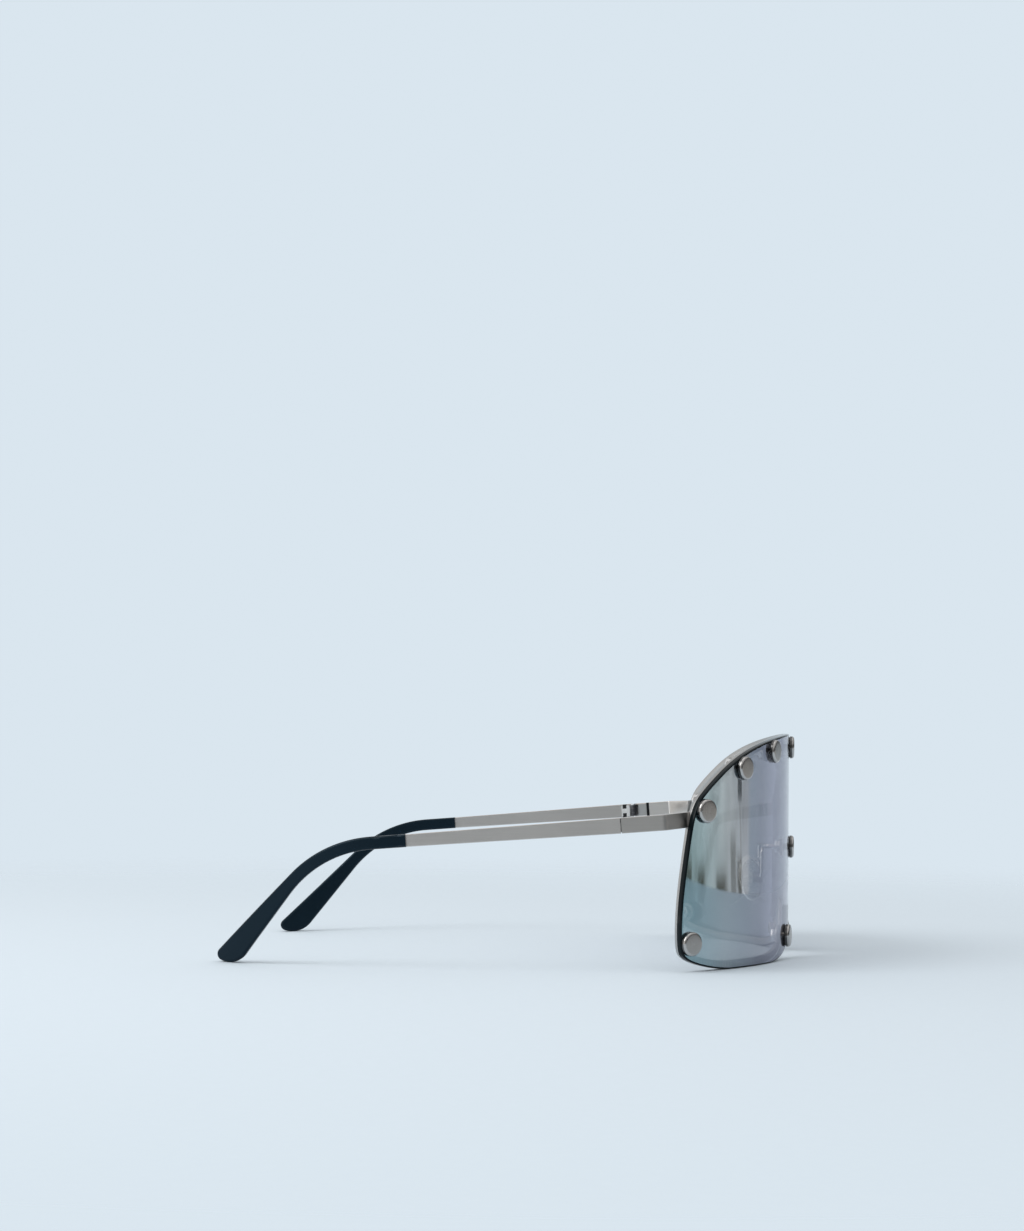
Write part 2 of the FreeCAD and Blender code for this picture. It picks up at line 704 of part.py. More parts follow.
def make_pad():
    """Add the right nose pad with its stem, the box it sits in and the screw it rocks on."""
    place = pad_place()
    oval = Part.Ellipse(Vector(0, 0, 0), size("pad_tall") / 2, size("pad_wide") / 2).toShape()
    oval.rotate(Vector(0, 0, 0), Vector(0, 1, 0), 90)
    disc = extrusion("pad_disc", Part.Wire(oval), Vector(1, 0, 0), "sizes.pad_thick")
    place_base(disc, {"x": PAD_START})
    soft = rounded("pad_soft", disc, min(size("pad_round"), ROUND_SHARE * size("pad_thick")),
                   lambda edge: edge.Length > size("pad_tall"))
    stem = block(
        "pad_stem", f"{PAD_START} + sizes.stem_wide / 2 + sizes.pad_thick / 2", "sizes.stem_wide",
        "sizes.stem_tall", x="-sizes.stem_wide / 2", y="-sizes.stem_wide / 2", z="-sizes.stem_tall / 2")
    pad = boolean("Cut", "pad", join("pad_whole", [soft, stem]), screw_bore("pad_eye", "running_fit"))
    node(pad, "nose_pad_right", place)

    case = block("box_case", "sizes.box_deep", "sizes.box_wide", "sizes.box_tall",
                 x="-sizes.box_deep / 2", y="-sizes.box_wide / 2", z="-sizes.box_tall / 2")
    well = block(
        "box_well", "sizes.box_deep", "sizes.box_wide - 2 * sizes.box_wall",
        "sizes.box_tall - 2 * sizes.box_wall", x="-sizes.box_deep / 2 + sizes.box_wall",
        y="-sizes.box_wide / 2 + sizes.box_wall", z="-sizes.box_tall / 2 + sizes.box_wall")
    hollow = boolean("Cut", "box_hollow", case, well)
    node(boolean("Cut", "pad_box", hollow, screw_bore("box_bore", "seat_fit")), "pad_box_right", place)

    shank = cylinder("pad_shank", "sizes.pad_screw_dia / 2", "sizes.box_wide", z="-sizes.box_wide / 2")
    head = cylinder("pad_head", "sizes.pad_head_dia / 2", "sizes.pad_head_high", z="sizes.box_wide / 2")
    lying = Placement(Vector(0, 0, 0), Rotation(Vector(1, 0, 0), -90))
    node(join("pad_screw", [shank, head]), "pad_screw_right", place * lying)


def bent_wire(points, radius):
    """Return a path of straight runs joined by tangent arcs of one radius."""
    edges = []
    last = points[0]
    for before, corner, after in zip(points, points[1:], points[2:]):
        back = (before - corner).normalize()
        ahead = (after - corner).normalize()
        half = back.getAngle(ahead) / 2
        start = corner + back * (radius / math.tan(half))
        end = corner + ahead * (radius / math.tan(half))
        middle = corner + (back + ahead).normalize() * (radius / math.sin(half) - radius)
        edges += [Part.makeLine(last, start), Part.Arc(start, middle, end).toShape()]
        last = end
    edges.append(Part.makeLine(last, points[-1]))
    return Part.Wire(edges)


def make_pad_arm(plate):
    """Add the right pad arm: a wire bent from the bridge plate back and down to the pad box."""
    place = pad_place()
    across = size("bridge_wide") / 2 - size("arm_wire_dia")
    within = nut_seat() + size("lug_thick") / 2
    back = size("front_radius") - math.sqrt(within**2 - across**2)
    start = Vector(-across, back, bridge_stud_place()[1])
    end = place.multVec(Vector(-size("box_deep") / 2, 0, 0))
    lead = place.multVec(Vector(-size("box_deep") / 2 - 2 * size("arm_bend_radius"), 0, 0))
    behind = start + Vector(0, (end.y - start.y) * ARM_RUN_SHARE, 0)
    path = bent_wire([start, behind, Vector(lead.x, lead.y, start.z), lead, end], size("arm_bend_radius"))
    ring = Part.Circle(start, Vector(0, 1, 0), size("arm_wire_dia") / 2).toShape()
    wire = feature("pad_arm_wire", path.makePipeShell([Part.Wire(ring)], True, False))
    node(boolean("Cut", "pad_arm", wire, plate), "pad_arm_right")


def check_and_export():
    """Check every object, stand the part's box over the origin and write one file per sub-part."""
    doc.recompute()
    for thing in doc.Objects:
        if "Invalid" in thing.State or "Error" in thing.State:
            raise RuntimeError(f"{thing.Label} failed: {thing.State}")
    for thing in nodes:
        if thing.Shape.isNull() or not thing.Shape.isValid():
            raise RuntimeError(f"{thing.Label} has no valid shape")
    whole = Part.Compound([thing.Shape for thing in nodes]).optimalBoundingBox(False)
    to_middle = Vector(0, -(whole.YMin + whole.YMax) / 2, 0)
    print("box", whole, "moved by", to_middle)
    os.makedirs("parts", exist_ok=True)
    for thing in nodes:
        shape = thing.Shape.copy()
        shape.translate(to_middle)
        shape.exportStep(f"parts/{thing.Label}.step")
        print(thing.Label, len(shape.Solids), round(shape.Volume, 3))


lens_prism = outline_prism("lens_prism", lens_outline())
make_lens(lens_prism)
rim_prism = make_rim()
make_studs()
bridge_plate = make_bridge()
right_start = len(nodes)
make_end_piece(rim_prism)
make_hinge()
make_temple()
make_tip()
make_pad()
make_pad_arm(bridge_plate)
doc.recompute()
for right_piece in nodes[right_start:]:
    twin(right_piece)
check_and_export()
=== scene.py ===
"""Looks of the shield sunglasses, built around their packed construction.

Lengths are metres in the construction's frame: X across the face with the wearer's right at minus X,
Y from the lens back to the tips, Z up from the floor that the open glasses stand on.
"""
from __future__ import annotations

import json
import logging
import math
from contextlib import contextmanager
from dataclasses import dataclass, field
from enum import Enum
from typing import Any, Callable, Iterator, Sequence

import bmesh
import bpy
from mathutils import Matrix, Vector

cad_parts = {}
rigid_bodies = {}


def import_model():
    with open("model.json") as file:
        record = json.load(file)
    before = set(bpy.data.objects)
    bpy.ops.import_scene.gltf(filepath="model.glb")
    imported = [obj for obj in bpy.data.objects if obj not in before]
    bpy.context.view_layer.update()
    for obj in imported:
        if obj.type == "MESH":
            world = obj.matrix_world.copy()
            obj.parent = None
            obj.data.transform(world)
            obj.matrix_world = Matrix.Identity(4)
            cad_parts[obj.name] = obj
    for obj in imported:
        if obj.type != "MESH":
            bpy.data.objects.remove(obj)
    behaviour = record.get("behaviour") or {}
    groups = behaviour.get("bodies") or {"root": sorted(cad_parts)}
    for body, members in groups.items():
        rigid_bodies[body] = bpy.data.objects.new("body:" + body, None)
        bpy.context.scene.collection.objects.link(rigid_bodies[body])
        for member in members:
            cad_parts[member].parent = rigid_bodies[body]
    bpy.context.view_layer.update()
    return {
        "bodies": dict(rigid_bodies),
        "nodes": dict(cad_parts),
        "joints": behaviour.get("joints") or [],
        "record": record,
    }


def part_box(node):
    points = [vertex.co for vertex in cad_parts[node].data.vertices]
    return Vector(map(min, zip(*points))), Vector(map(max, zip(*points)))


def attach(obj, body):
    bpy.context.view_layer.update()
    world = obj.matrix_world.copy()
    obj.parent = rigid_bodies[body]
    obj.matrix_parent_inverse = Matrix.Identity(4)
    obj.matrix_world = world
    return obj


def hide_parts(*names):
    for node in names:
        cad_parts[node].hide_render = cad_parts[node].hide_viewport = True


LOG = logging.getLogger("shield_sunglasses")
MM = 0.001
Colour = tuple[float, float, float]
Point = tuple[float, float]


class Side(Enum):
    """The wearer's side that a piece is on, with the sign of its X."""

    RIGHT = -1
    LEFT = 1

    @property
    def tag(self) -> str:
        """Word that ends the names of pieces on this side."""
        return self.name.lower()


class Grain(Enum):
    """How the fine lines of a metal finish run."""

    ALONG_BAR = "along the temple bars"
    ALONG_RIM = "along the rim band"
    ROUND_AXIS = "in rings round a turned face"


class Pick(Enum):
    """What an edit selects, with the name of a mesh's list of it."""

    FACE = "faces"
    EDGE = "edges"


class Socket:
    """One output socket of a shader graph, whose sums and products add Math nodes."""

    def __init__(self, graph: Graph, link: bpy.types.NodeSocket) -> None:
        """Wrap a socket of a graph."""
        self.graph = graph
        self.link = link

    def _math(self, operation: str, first: Any, second: Any) -> Socket:
        """Add one Math node on two values."""
        return self.graph.node("ShaderNodeMath", {"operation": operation}, {0: first, 1: second})

    def __add__(self, other: Any) -> Socket:
        """Sum."""
        return self._math("ADD", self, other)

    __radd__ = __add__

    def __sub__(self, other: Any) -> Socket:
        """Difference."""
        return self._math("SUBTRACT", self, other)

    def __rsub__(self, other: Any) -> Socket:
        """Difference from a number."""
        return self._math("SUBTRACT", other, self)

    def __mul__(self, other: Any) -> Socket:
        """Product."""
        return self._math("MULTIPLY", self, other)

    __rmul__ = __mul__

    def __truediv__(self, other: Any) -> Socket:
        """Quotient."""
        return self._math("DIVIDE", self, other)

    def __abs__(self) -> Socket:
        """Absolute value."""
        return self._math("ABSOLUTE", self, 0.0)

    def sine(self) -> Socket:
        """Sine of an angle in radians."""
        return self._math("SINE", self, 0.0)

    def root(self) -> Socket:
        """Square root."""
        return self._math("SQRT", self, 0.0)

    def most(self, other: Socket) -> Socket:
        """The larger of two values."""
        return self._math("MAXIMUM", self, other)

    def angle_from(self, along: Socket) -> Socket:
        """Angle of the direction whose parts are this value and the one along zero."""
        return self._math("ARCTAN2", self, along)

    def step(self, start: float, end: float) -> Socket:
        """Smooth step from 0 at start to 1 at end.

        Args:
            start: Value at which the step begins.
            end: Value at which the step is complete; it may be the smaller one.

        Returns:
            The stepped value.
        """
        low, high = min(start, end), max(start, end)
        made = self.graph.node(
            "ShaderNodeMapRange", {"interpolation_type": "SMOOTHSTEP"},
            {"Value": self, "From Min": low, "From Max": high})
        return made if start < end else 1.0 - made


class Graph:
    """Nodes of one material or world."""

    def __init__(self, tree: bpy.types.NodeTree) -> None:
        """Take over a node tree and empty it."""
        self.tree = tree
        tree.nodes.clear()

    def node(
        self, kind: str, settings: dict[str, Any] | None = None,
        sockets: dict[Any, Any] | None = None, output: Any = 0,
    ) -> Socket | None:
        """Add one node.

        Args:
            kind: Blender's name of the node type.
            settings: Properties set before the sockets; "stops" fills a colour ramp.
            sockets: Values or links by socket name or index.
            output: Name or index of the output to return.

        Returns:
            The wrapped output, or None for a node without outputs.
        """
        made = self.tree.nodes.new(kind)
        for name, value in (settings or {}).items():
            if name == "stops":
                self._fill_ramp(made.color_ramp, value)
            else:
                setattr(made, name, value)
        for key, value in (sockets or {}).items():
            if isinstance(value, Socket):
                self.tree.links.new(value.link, made.inputs[key])
            else:
                made.inputs[key].default_value = value
        return Socket(self, made.outputs[output]) if made.outputs else None

    @staticmethod
    def _fill_ramp(ramp: bpy.types.ColorRamp, stops: Sequence[tuple[float, Colour]]) -> None:
        """Set the stops of a colour ramp.

        Args:
            ramp: The ramp to fill.
            stops: Place and colour of each stop, from left to right.
        """
        while len(ramp.elements) < len(stops):
            ramp.elements.new(1.0)
        for element, (place, colour) in zip(ramp.elements, stops):
            element.position = place
            element.color = (*colour, 1.0)

    def parts(self, vector: Socket) -> tuple[Socket, Socket, Socket]:
        """Split a vector into its three parts."""
        node = self.node("ShaderNodeSeparateXYZ", None, {0: vector}).link.node
        return tuple(Socket(self, out) for out in node.outputs)

    def coordinate(self, output: str) -> Socket:
        """One output of the Texture Coordinate node."""
        return self.node("ShaderNodeTexCoord", output=output)

    def attribute(self, name: str) -> Socket:
        """Number stored on the points of a piece."""
        return self.node("ShaderNodeAttribute", {"attribute_name": name}, output="Fac")

    def ray(self, output: str) -> Socket:
        """One output of the Light Path node."""
        return self.node("ShaderNodeLightPath", output=output)

    def ramp(self, factor: Socket, stops: Sequence[tuple[float, Colour]]) -> Socket:
        """Colour ramp over a factor from 0 to 1."""
        return self.node("ShaderNodeValToRGB", {"stops": stops}, {"Fac": factor}, "Color")

    def mix(self, factor: Any, first: Any, second: Any) -> Socket:
        """Mix two colours.

        Args:
            factor: Share of the second colour.
            first: Colour or link at 0.
            second: Colour or link at 1.

        Returns:
            The mixed colour.
        """
        pair = {6: first, 7: second}
        full = {key: (*value, 1.0) if isinstance(value, tuple) else value for key, value in pair.items()}
        return self.node("ShaderNodeMix", {"data_type": "RGBA"}, {0: factor, **full}, 2)

    def scaled(self, colour: Any, amount: Any) -> Socket:
        """Multiply a colour by a number.

        Args:
            colour: Colour or link.
            amount: Number or link.

        Returns:
            The darker or brighter colour.
        """
        whole = (*colour, 1.0) if isinstance(colour, tuple) else colour
        shade = self.node("ShaderNodeCombineColor", None, {0: amount, 1: amount, 2: amount})
        settings = {"data_type": "RGBA", "blend_type": "MULTIPLY"}
        return self.node("ShaderNodeMix", settings, {0: 1.0, 6: whole, 7: shade}, 2)

    def noise(self, where: Socket, scale: float, detail: float = 2.0) -> Socket:
        """Noise from 0 to 1 over a vector."""
        sockets = {"Vector": where, "Scale": scale, "Detail": detail}
        return self.node("ShaderNodeTexNoise", None, sockets, "Fac")

    def placed(self, where: Socket, scale: Sequence[float], turn: Sequence[float] = (0, 0, 0)) -> Socket:
        """Vector turned and scaled by a Mapping node."""
        return self.node("ShaderNodeMapping", None, {"Vector": where, "Rotation": turn, "Scale": scale})

    def bump(self, height: Socket, strength: float, depth: float) -> Socket:
        """Normal that a height in units of depth tilts."""
        return self.node(
            "ShaderNodeBump", None, {"Height": height, "Strength": strength, "Distance": depth})


@dataclass(frozen=True)
class Finish:
    """A surface finish; its shader is one Principled node."""

    name: str

    def material(self) -> bpy.types.Material:
        """Make the material.

        Returns:
            A new material with this finish.
        """
        made = bpy.data.materials.new(self.name)
        made.use_nodes = True
        graph = Graph(made.node_tree)
        shader = graph.node("ShaderNodeBsdfPrincipled", None, self.inputs(graph))
        graph.node("ShaderNodeOutputMaterial", None, {"Surface": shader})
        return made

    def inputs(self, graph: Graph) -> dict[str, Any]:
        """Values and links of the shader's sockets, each by its name."""
        raise NotImplementedError


@dataclass(frozen=True)
class FineSteel(Finish):
    """Steel with fine lines left by its last polishing."""

    tint: Colour
    roughness: float
    grain: Grain
    line: float = 0.35 * MM
    run: float = 18 * MM
    drop: float = math.radians(4.7)
    line_shade: float = 0.12
    mark_shade: float = 0.08
    line_gloss: float = 0.08
    mark_gloss: float = 0.1
    marks_per_metre: float = 90.0
    line_slope: float = 0.25
    line_deep: float = 0.01 * MM

    def lines(self, graph: Graph) -> Socket:
        """Draw lines that are long along the grain and short across it.

        Args:
            graph: The material's nodes.

        Returns:
            A value from 0 to 1.
        """
        if self.grain is Grain.ROUND_AXIS:
            radius = graph.attribute("turned")
            wander = graph.noise(graph.coordinate("Object"), 1 / self.run)
            return (radius * (math.tau / self.line) + wander * math.tau).sine() * 0.5 + 0.5
        if self.grain is Grain.ALONG_RIM:
            place = graph.node("ShaderNodeCombineXYZ", None, {
                0: graph.attribute("along") * (1 / self.run),
                1: graph.attribute("across") * (1 / self.line),
            })
            return graph.noise(place, 1.0, 3.0)
        scale = (1 / self.line, 1 / self.run, 1 / self.line)
        return graph.noise(graph.placed(graph.coordinate("Object"), scale, (self.drop, 0, 0)), 1.0, 3.0)

    def inputs(self, graph: Graph) -> dict[str, Any]:
        """Steel whose shade, gloss and slope follow the lines and soft handling marks.

        Args:
            graph: The material's nodes.

        Returns:
            Values and links of the shader's sockets.
        """
        lines = self.lines(graph)
        marks = graph.noise(graph.coordinate("Object"), self.marks_per_metre, 3.0)
        dullest = 1.0 - (self.line_shade + self.mark_shade) / 2
        shade = dullest + lines * self.line_shade + marks * self.mark_shade
        gloss = self.roughness + (lines - 0.5) * self.line_gloss + (marks - 0.5) * self.mark_gloss
        return {
            "Base Color": graph.scaled(self.tint, shade),
            "Metallic": 1.0,
            "Roughness": gloss,
            "Normal": graph.bump(lines, self.line_slope, self.line_deep),
        }


@dataclass(frozen=True)
class TurnedSteel(FineSteel):
    """Stud steel: satin on the turned face, polished on the shoulder in a lighter tint that is also a
    painted highlight, and painted shade down the wall.
    """

    radius: float = 3.4 * MM
    shoulder: float = 0.7 * MM
    shoulder_shares: Point = (0.9, 0.6)
    wall_shares: Point = (0.9955, 0.9995)
    # lighter tint of the polished shoulder, partly a painted highlight
    polish: Colour = (0.42, 0.41, 0.40)
    polish_gloss: float = 0.1
    # near black down the stud's wall: painted shade
    black: Colour = (0.10, 0.10, 0.10)

    def inputs(self, graph: Graph) -> dict[str, Any]:
        """Fine steel told apart by its distance from the stud's axis.

        Args:
            graph: The material's nodes.

        Returns:
            Values and links of the shader's sockets.
        """
        made = super().inputs(graph)
        turned = graph.attribute("turned")
        polished = turned.step(*(self.radius - share * self.shoulder for share in self.shoulder_shares))
        # mask of the stud's wall, which is painted dark as shade
        wall = turned.step(*(share * self.radius for share in self.wall_shares))
        # the shoulder gets the lighter tint, partly a painted highlight; its lower roughness is real polish
        face = graph.mix(polished, made["Base Color"], self.polish)
        # painted shade: the wall is made near black
        made["Base Color"] = graph.mix(wall, face, self.black)
        made["Roughness"] = made["Roughness"] - polished * self.polish_gloss
        return made


@dataclass(frozen=True)
class GroovedSteel(FineSteel):
    """Bar steel with painted shade in the gap beside the hinge leaf on its inner face."""

    pin: Sequence[float] = (0.0, 0.0, 0.0)
    inner_face: float = 1.5 * MM
    sunk: Point = (0.1 * MM, 0.7 * MM)
    along: Point = (-5.4 * MM, -3.9 * MM)
    soft: float = 0.05 * MM
    dark: Colour = (0.02, 0.02, 0.022)

    def inputs(self, graph: Graph) -> dict[str, Any]:
        """Fine steel painted dark, as the shade in the gap, between two depths under its inner face and two
        places along the bar.

        Args:
            graph: The material's nodes.

        Returns:
            Values and links of the shader's sockets.
        """
        made = super().inputs(graph)
        x, y, _ = graph.parts(graph.coordinate("Object"))
        inside = self.between(abs(x) - abs(self.pin[0]) - self.inner_face, self.sunk)
        inside = inside * self.between(y - self.pin[1], self.along)
        # painted shadow: the gap beside the hinge leaf is made dark
        made["Base Color"] = graph.mix(inside, made["Base Color"], self.dark)
        return made

    def between(self, value: Socket, limits: Point) -> Socket:
        """1 between two limits and 0 outside them."""
        low, high = limits
        return value.step(low, low + self.soft) * value.step(high, high - self.soft)


@dataclass(frozen=True)
class EndSteel(GroovedSteel):
    """End-piece steel with painted light, brighter on the faces turned towards the middle of the glasses."""

    inner_gain: float = 1.6
    turned_in: Point = (-0.2, -0.4)

    def inputs(self, graph: Graph) -> dict[str, Any]:
        """Gap-shaded steel with painted light, brighter on the faces towards the middle of the glasses.

        Args:
            graph: The material's nodes.

        Returns:
            Values and links of the shader's sockets.
        """
        made = super().inputs(graph)
        x, _, _ = graph.parts(graph.coordinate("Object"))
        facing, _, _ = graph.parts(graph.coordinate("Normal"))
        # painted light: faces turned towards the middle of the glasses are made brighter
        inner = (x * facing / abs(x)).step(*self.turned_in)
        made["Base Color"] = graph.scaled(made["Base Color"], 1.0 + inner * (self.inner_gain - 1.0))
        return made


@dataclass(frozen=True)
class HingeSteel(FineSteel):
    """Hinge steel in its own tint on the leaves, with painted shade round the pin for the gap in the barrel.
    """

    pin: Sequence[float] = (0.0, 0.0, 0.0)
    barrel: float = 1.3 * MM
    leaf_share: float = 1.25
    dark: Colour = (0.07, 0.07, 0.075)

    def inputs(self, graph: Graph) -> dict[str, Any]:
        """Fine steel whose barrels are painted dark as shade.

        Args:
            graph: The material's nodes.

        Returns:
            Values and links of the shader's sockets.
        """
        made = super().inputs(graph)
        x, y, _ = graph.parts(graph.coordinate("Object"))
        across, along = abs(x) - abs(self.pin[0]), y - self.pin[1]
        leaf = (across * across + along * along).root().step(self.barrel, self.leaf_share * self.barrel)
        # painted shade round the pin, for the gap in the barrel
        made["Base Color"] = graph.mix(leaf, self.dark, made["Base Color"])
        return made


@dataclass(frozen=True)
class FlashMirror(Finish):
    """Flash-coated lens: tinted mirror outside, thinner in the middle, smoke inside, dark polished edge."""

    half_wide: float
    front: Colour = (0.295, 0.30, 0.385)
    flank: Colour = (0.222, 0.236, 0.292)
    turn: Colour = (0.29, 0.335, 0.365)
    side: Colour = (0.215, 0.335, 0.365)
    smoke: Colour = (0.03, 0.035, 0.04)
    edge: Colour = (0.004, 0.008, 0.010)
    tint_shares: Sequence[float] = (0.44, 0.58, 0.81)
    tint_sway: float = 0.06
    thin_shares: Point = (0.74, 0.56)
    side_alpha: float = 0.84
    middle_alpha: float = 0.71
    inside_alpha: float = 0.10
    roughness: float = 0.03
    smear_gloss: float = 0.03
    edge_gloss: float = 0.05

    def inputs(self, graph: Graph) -> dict[str, Any]:
        """Coat, smoke and edge told apart by the mark on each face.

        Args:
            graph: The material's nodes.

        Returns:
            Values and links of the shader's sockets.
        """
        where = graph.coordinate("Object")
        x, _, _ = graph.parts(where)
        coat = graph.attribute("coat")
        outside = coat.step(0.4, 0.6)
        inside = coat.step(-0.4, -0.6)
        wander = graph.noise(where, 22.0, 2.0)
        across = abs(x) * (1 / self.half_wide) + (wander - 0.5) * self.tint_sway
        front_end, flank, turn = self.tint_shares
        tint = graph.ramp(across, [
            (0.0, self.front), (front_end, self.front), (flank, self.flank), (turn, self.turn),
            (1.0, self.side)])
        smears = graph.noise(graph.placed(where, (60, 60, 25)), 1.0, 4.0).step(0.55, 0.8)
        cover = self.side_alpha + across.step(*self.thin_shares) * (self.middle_alpha - self.side_alpha)
        return {
            "Base Color": graph.mix(outside, graph.mix(inside, self.edge, self.smoke), tint),
            "Metallic": outside,
            "Roughness": self.roughness + smears * self.smear_gloss + (1.0 - outside) * self.edge_gloss,
            "Specular IOR Level": 0.1,
            "Alpha": 1.0 - outside * (1.0 - cover) - inside * (1.0 - self.inside_alpha),
        }


@dataclass(frozen=True)
class Moulded(Finish):
    """Moulded or tumbled plastic with a faint pebble and handling marks."""

    tint: Colour
    roughness: float
    pebble: float = 0.4 * MM
    pebble_slope: float = 0.12
    pebble_deep: float = 0.02 * MM
    drift_shade: float = 0.3
    drift_gloss: float = 0.16
    drifts_per_metre: float = 60.0
    gloss: float = 0.5
    gloss_tint: Colour = (1.0, 1.0, 1.0)

    def inputs(self, graph: Graph) -> dict[str, Any]:
        """Plastic whose gloss drifts and whose surface has a slight orange peel.

        Args:
            graph: The material's nodes.

        Returns:
            Values and links of the shader's sockets.
        """
        where = graph.coordinate("Object")
        peel = graph.noise(where, 1 / self.pebble, 2.0)
        drift = graph.noise(where, self.drifts_per_metre, 4.0)
        return {
            "Base Color": graph.scaled(self.tint, 1.0 - self.drift_shade / 2 + drift * self.drift_shade),
            "Roughness": self.roughness + (drift - 0.5) * self.drift_gloss,
            "Specular IOR Level": self.gloss,
            "Specular Tint": (*self.gloss_tint, 1.0),
            "Normal": graph.bump(peel, self.pebble_slope, self.pebble_deep),
        }


@dataclass(frozen=True)
class ClearSilicone(Finish):
    """Soft clear silicone with a dulled skin."""

    tint: Colour = (0.9, 0.93, 0.93)
    roughness: float = 0.18
    dull_shade: float = 0.05
    dull_gloss: float = 0.16
    dulls_per_metre: float = 260.0
    clear: float = 0.85
    refraction: float = 1.41

    def inputs(self, graph: Graph) -> dict[str, Any]:
        """Clear body whose skin is duller where it is handled.

        Args:
            graph: The material's nodes.

        Returns:
            Values and links of the shader's sockets.
        """
        dull = graph.noise(graph.coordinate("Object"), self.dulls_per_metre, 3.0)
        return {
            "Base Color": graph.scaled(self.tint, 1.0 - self.dull_shade + dull * self.dull_shade),
            "Roughness": self.roughness + dull * self.dull_gloss,
            "IOR": self.refraction,
            "Transmission Weight": self.clear,
        }


class Bench:
    """Steps of modelling that several pieces share."""

    @staticmethod
    def clear() -> None:
        """Deselect everything."""
        for thing in bpy.context.selected_objects:
            thing.select_set(False)

    @classmethod
    def take(cls, *pieces: bpy.types.Object) -> None:
        """Select some pieces alone, the first of them active.

        Args:
            pieces: The pieces to select.
        """
        cls.clear()
        for piece in pieces:
            piece.select_set(True)
        bpy.context.view_layer.objects.active = pieces[0]

    @staticmethod
    def named(name: str) -> bpy.types.Object:
        """Name the active piece, which is the one that was added last.

        Args:
            name: Name of the piece and of its mesh.

        Returns:
            The piece.
        """
        piece = bpy.context.object
        piece.name = name
        piece.data.name = name
        return piece

    @classmethod
    @contextmanager
    def edit(cls, piece: bpy.types.Object, kind: Pick = Pick.FACE) -> Iterator[None]:
        """Keep a piece in edit mode while the block runs.

        Args:
            piece: The piece to edit.
            kind: What is selected.

        Yields:
            Nothing.
        """
        cls.take(piece)
        bpy.ops.object.mode_set(mode="EDIT")
        bpy.ops.mesh.select_mode(type=kind.name)
        yield
        bpy.ops.object.mode_set(mode="OBJECT")

    @staticmethod
    def pick(piece: bpy.types.Object, kind: Pick, wanted: Callable[[Any], bool]) -> None:
        """Select, in edit mode, the faces or edges that a test picks out.

        Args:
            piece: The piece in edit mode.
            kind: What is tested.
            wanted: The test of one face or edge.
        """
        shape = bmesh.from_edit_mesh(piece.data)
        bpy.ops.mesh.select_all(action="DESELECT")
        for part in getattr(shape, kind.value):
            part.select_set(wanted(part))
        bmesh.update_edit_mesh(piece.data)

    @classmethod
    def ease(
        cls, piece: bpy.types.Object, wanted: Callable[[bmesh.types.BMEdge], bool],
        width: float, segments: int,
    ) -> None:
        """Round off the edges that a test picks out.

        Args:
            piece: The piece to change.
            wanted: The test of one edge.
            width: Width of the rounding.
            segments: Faces across the rounding.
        """
        with cls.edit(piece, Pick.EDGE):
            cls.pick(piece, Pick.EDGE, wanted)
            bpy.ops.mesh.bevel(offset=width, segments=segments, affect="EDGES")

    @classmethod
    def crown(
        cls, piece: bpy.types.Object, wanted: Callable[[bmesh.types.BMFace], bool],
        flat: float, rise: float, rings: int = 4,
    ) -> None:
        """Raise a flat round end into a low crown, ring by ring.

        Args:
            piece: The piece to change.
            wanted: The test that finds the end's face, also when it has shrunk.
            flat: Radius of the flat end.
            rise: Height of the crown.
            rings: Rings that the crown has.
        """
        with cls.edit(piece):
            for ring in range(rings):
                cls.pick(piece, Pick.FACE, wanted)
                lift = rise * (2 * (rings - ring) - 1) / rings ** 2
                bpy.ops.mesh.inset(thickness=flat / (rings + 1), depth=lift)

    @classmethod
    def apply(cls, piece: bpy.types.Object, kind: str, **settings: Any) -> None:
        """Add one modifier and apply it.

        Args:
            piece: The piece to change.
            kind: Blender's modifier type.
            settings: Properties of the modifier.
        """
        cls.take(piece)
        modifier = piece.modifiers.new(kind.title(), kind)
        for name, value in settings.items():
            setattr(modifier, name, value)
        bpy.ops.object.modifier_apply(modifier=modifier.name)

    @classmethod
    def combine(
        cls, piece: bpy.types.Object, tool: bpy.types.Object, operation: str, **settings: Any,
    ) -> None:
        """Join a tool to a piece, or cut it out of the piece, and remove the tool."""
        cls.apply(piece, "BOOLEAN", operation=operation, solver="EXACT", object=tool, **settings)
        bpy.data.objects.remove(tool)

    @classmethod
    def settle(cls, piece: bpy.types.Object) -> None:
        """Put the piece's place into its mesh."""
        cls.take(piece)
        bpy.ops.object.transform_apply(location=True, rotation=True, scale=True)

    @classmethod
    def cylinder(cls, name: str, sides: int, radius: float, depth: float, **place: Any) -> bpy.types.Object:
        """Add a cylinder whose place is in its mesh.

        Args:
            name: Name of the piece.
            sides: Sides round it.
            radius: Radius over its corners.
            depth: Length along its axis.
            place: Location and rotation, as the operator takes them.

        Returns:
            The new piece.
        """
        cls.clear()
        bpy.ops.mesh.primitive_cylinder_add(vertices=sides, radius=radius, depth=depth, **place)
        piece = cls.named(name)
        cls.settle(piece)
        return piece

    @classmethod
    def outwards(cls, piece: bpy.types.Object) -> None:
        """Merge doubles and turn all faces outwards.

        Args:
            piece: The piece to change.
        """
        with cls.edit(piece):
            bpy.ops.mesh.select_all(action="SELECT")
            bpy.ops.mesh.remove_doubles(threshold=0.0005 * MM)
            bpy.ops.mesh.normals_make_consistent(inside=False)

    @classmethod
    def smooth(cls, piece: bpy.types.Object, degrees: float = 32.0) -> None:
        """Shade smooth, apart from edges sharper than an angle."""
        cls.take(piece)
        bpy.ops.object.shade_smooth_by_angle(angle=math.radians(degrees))

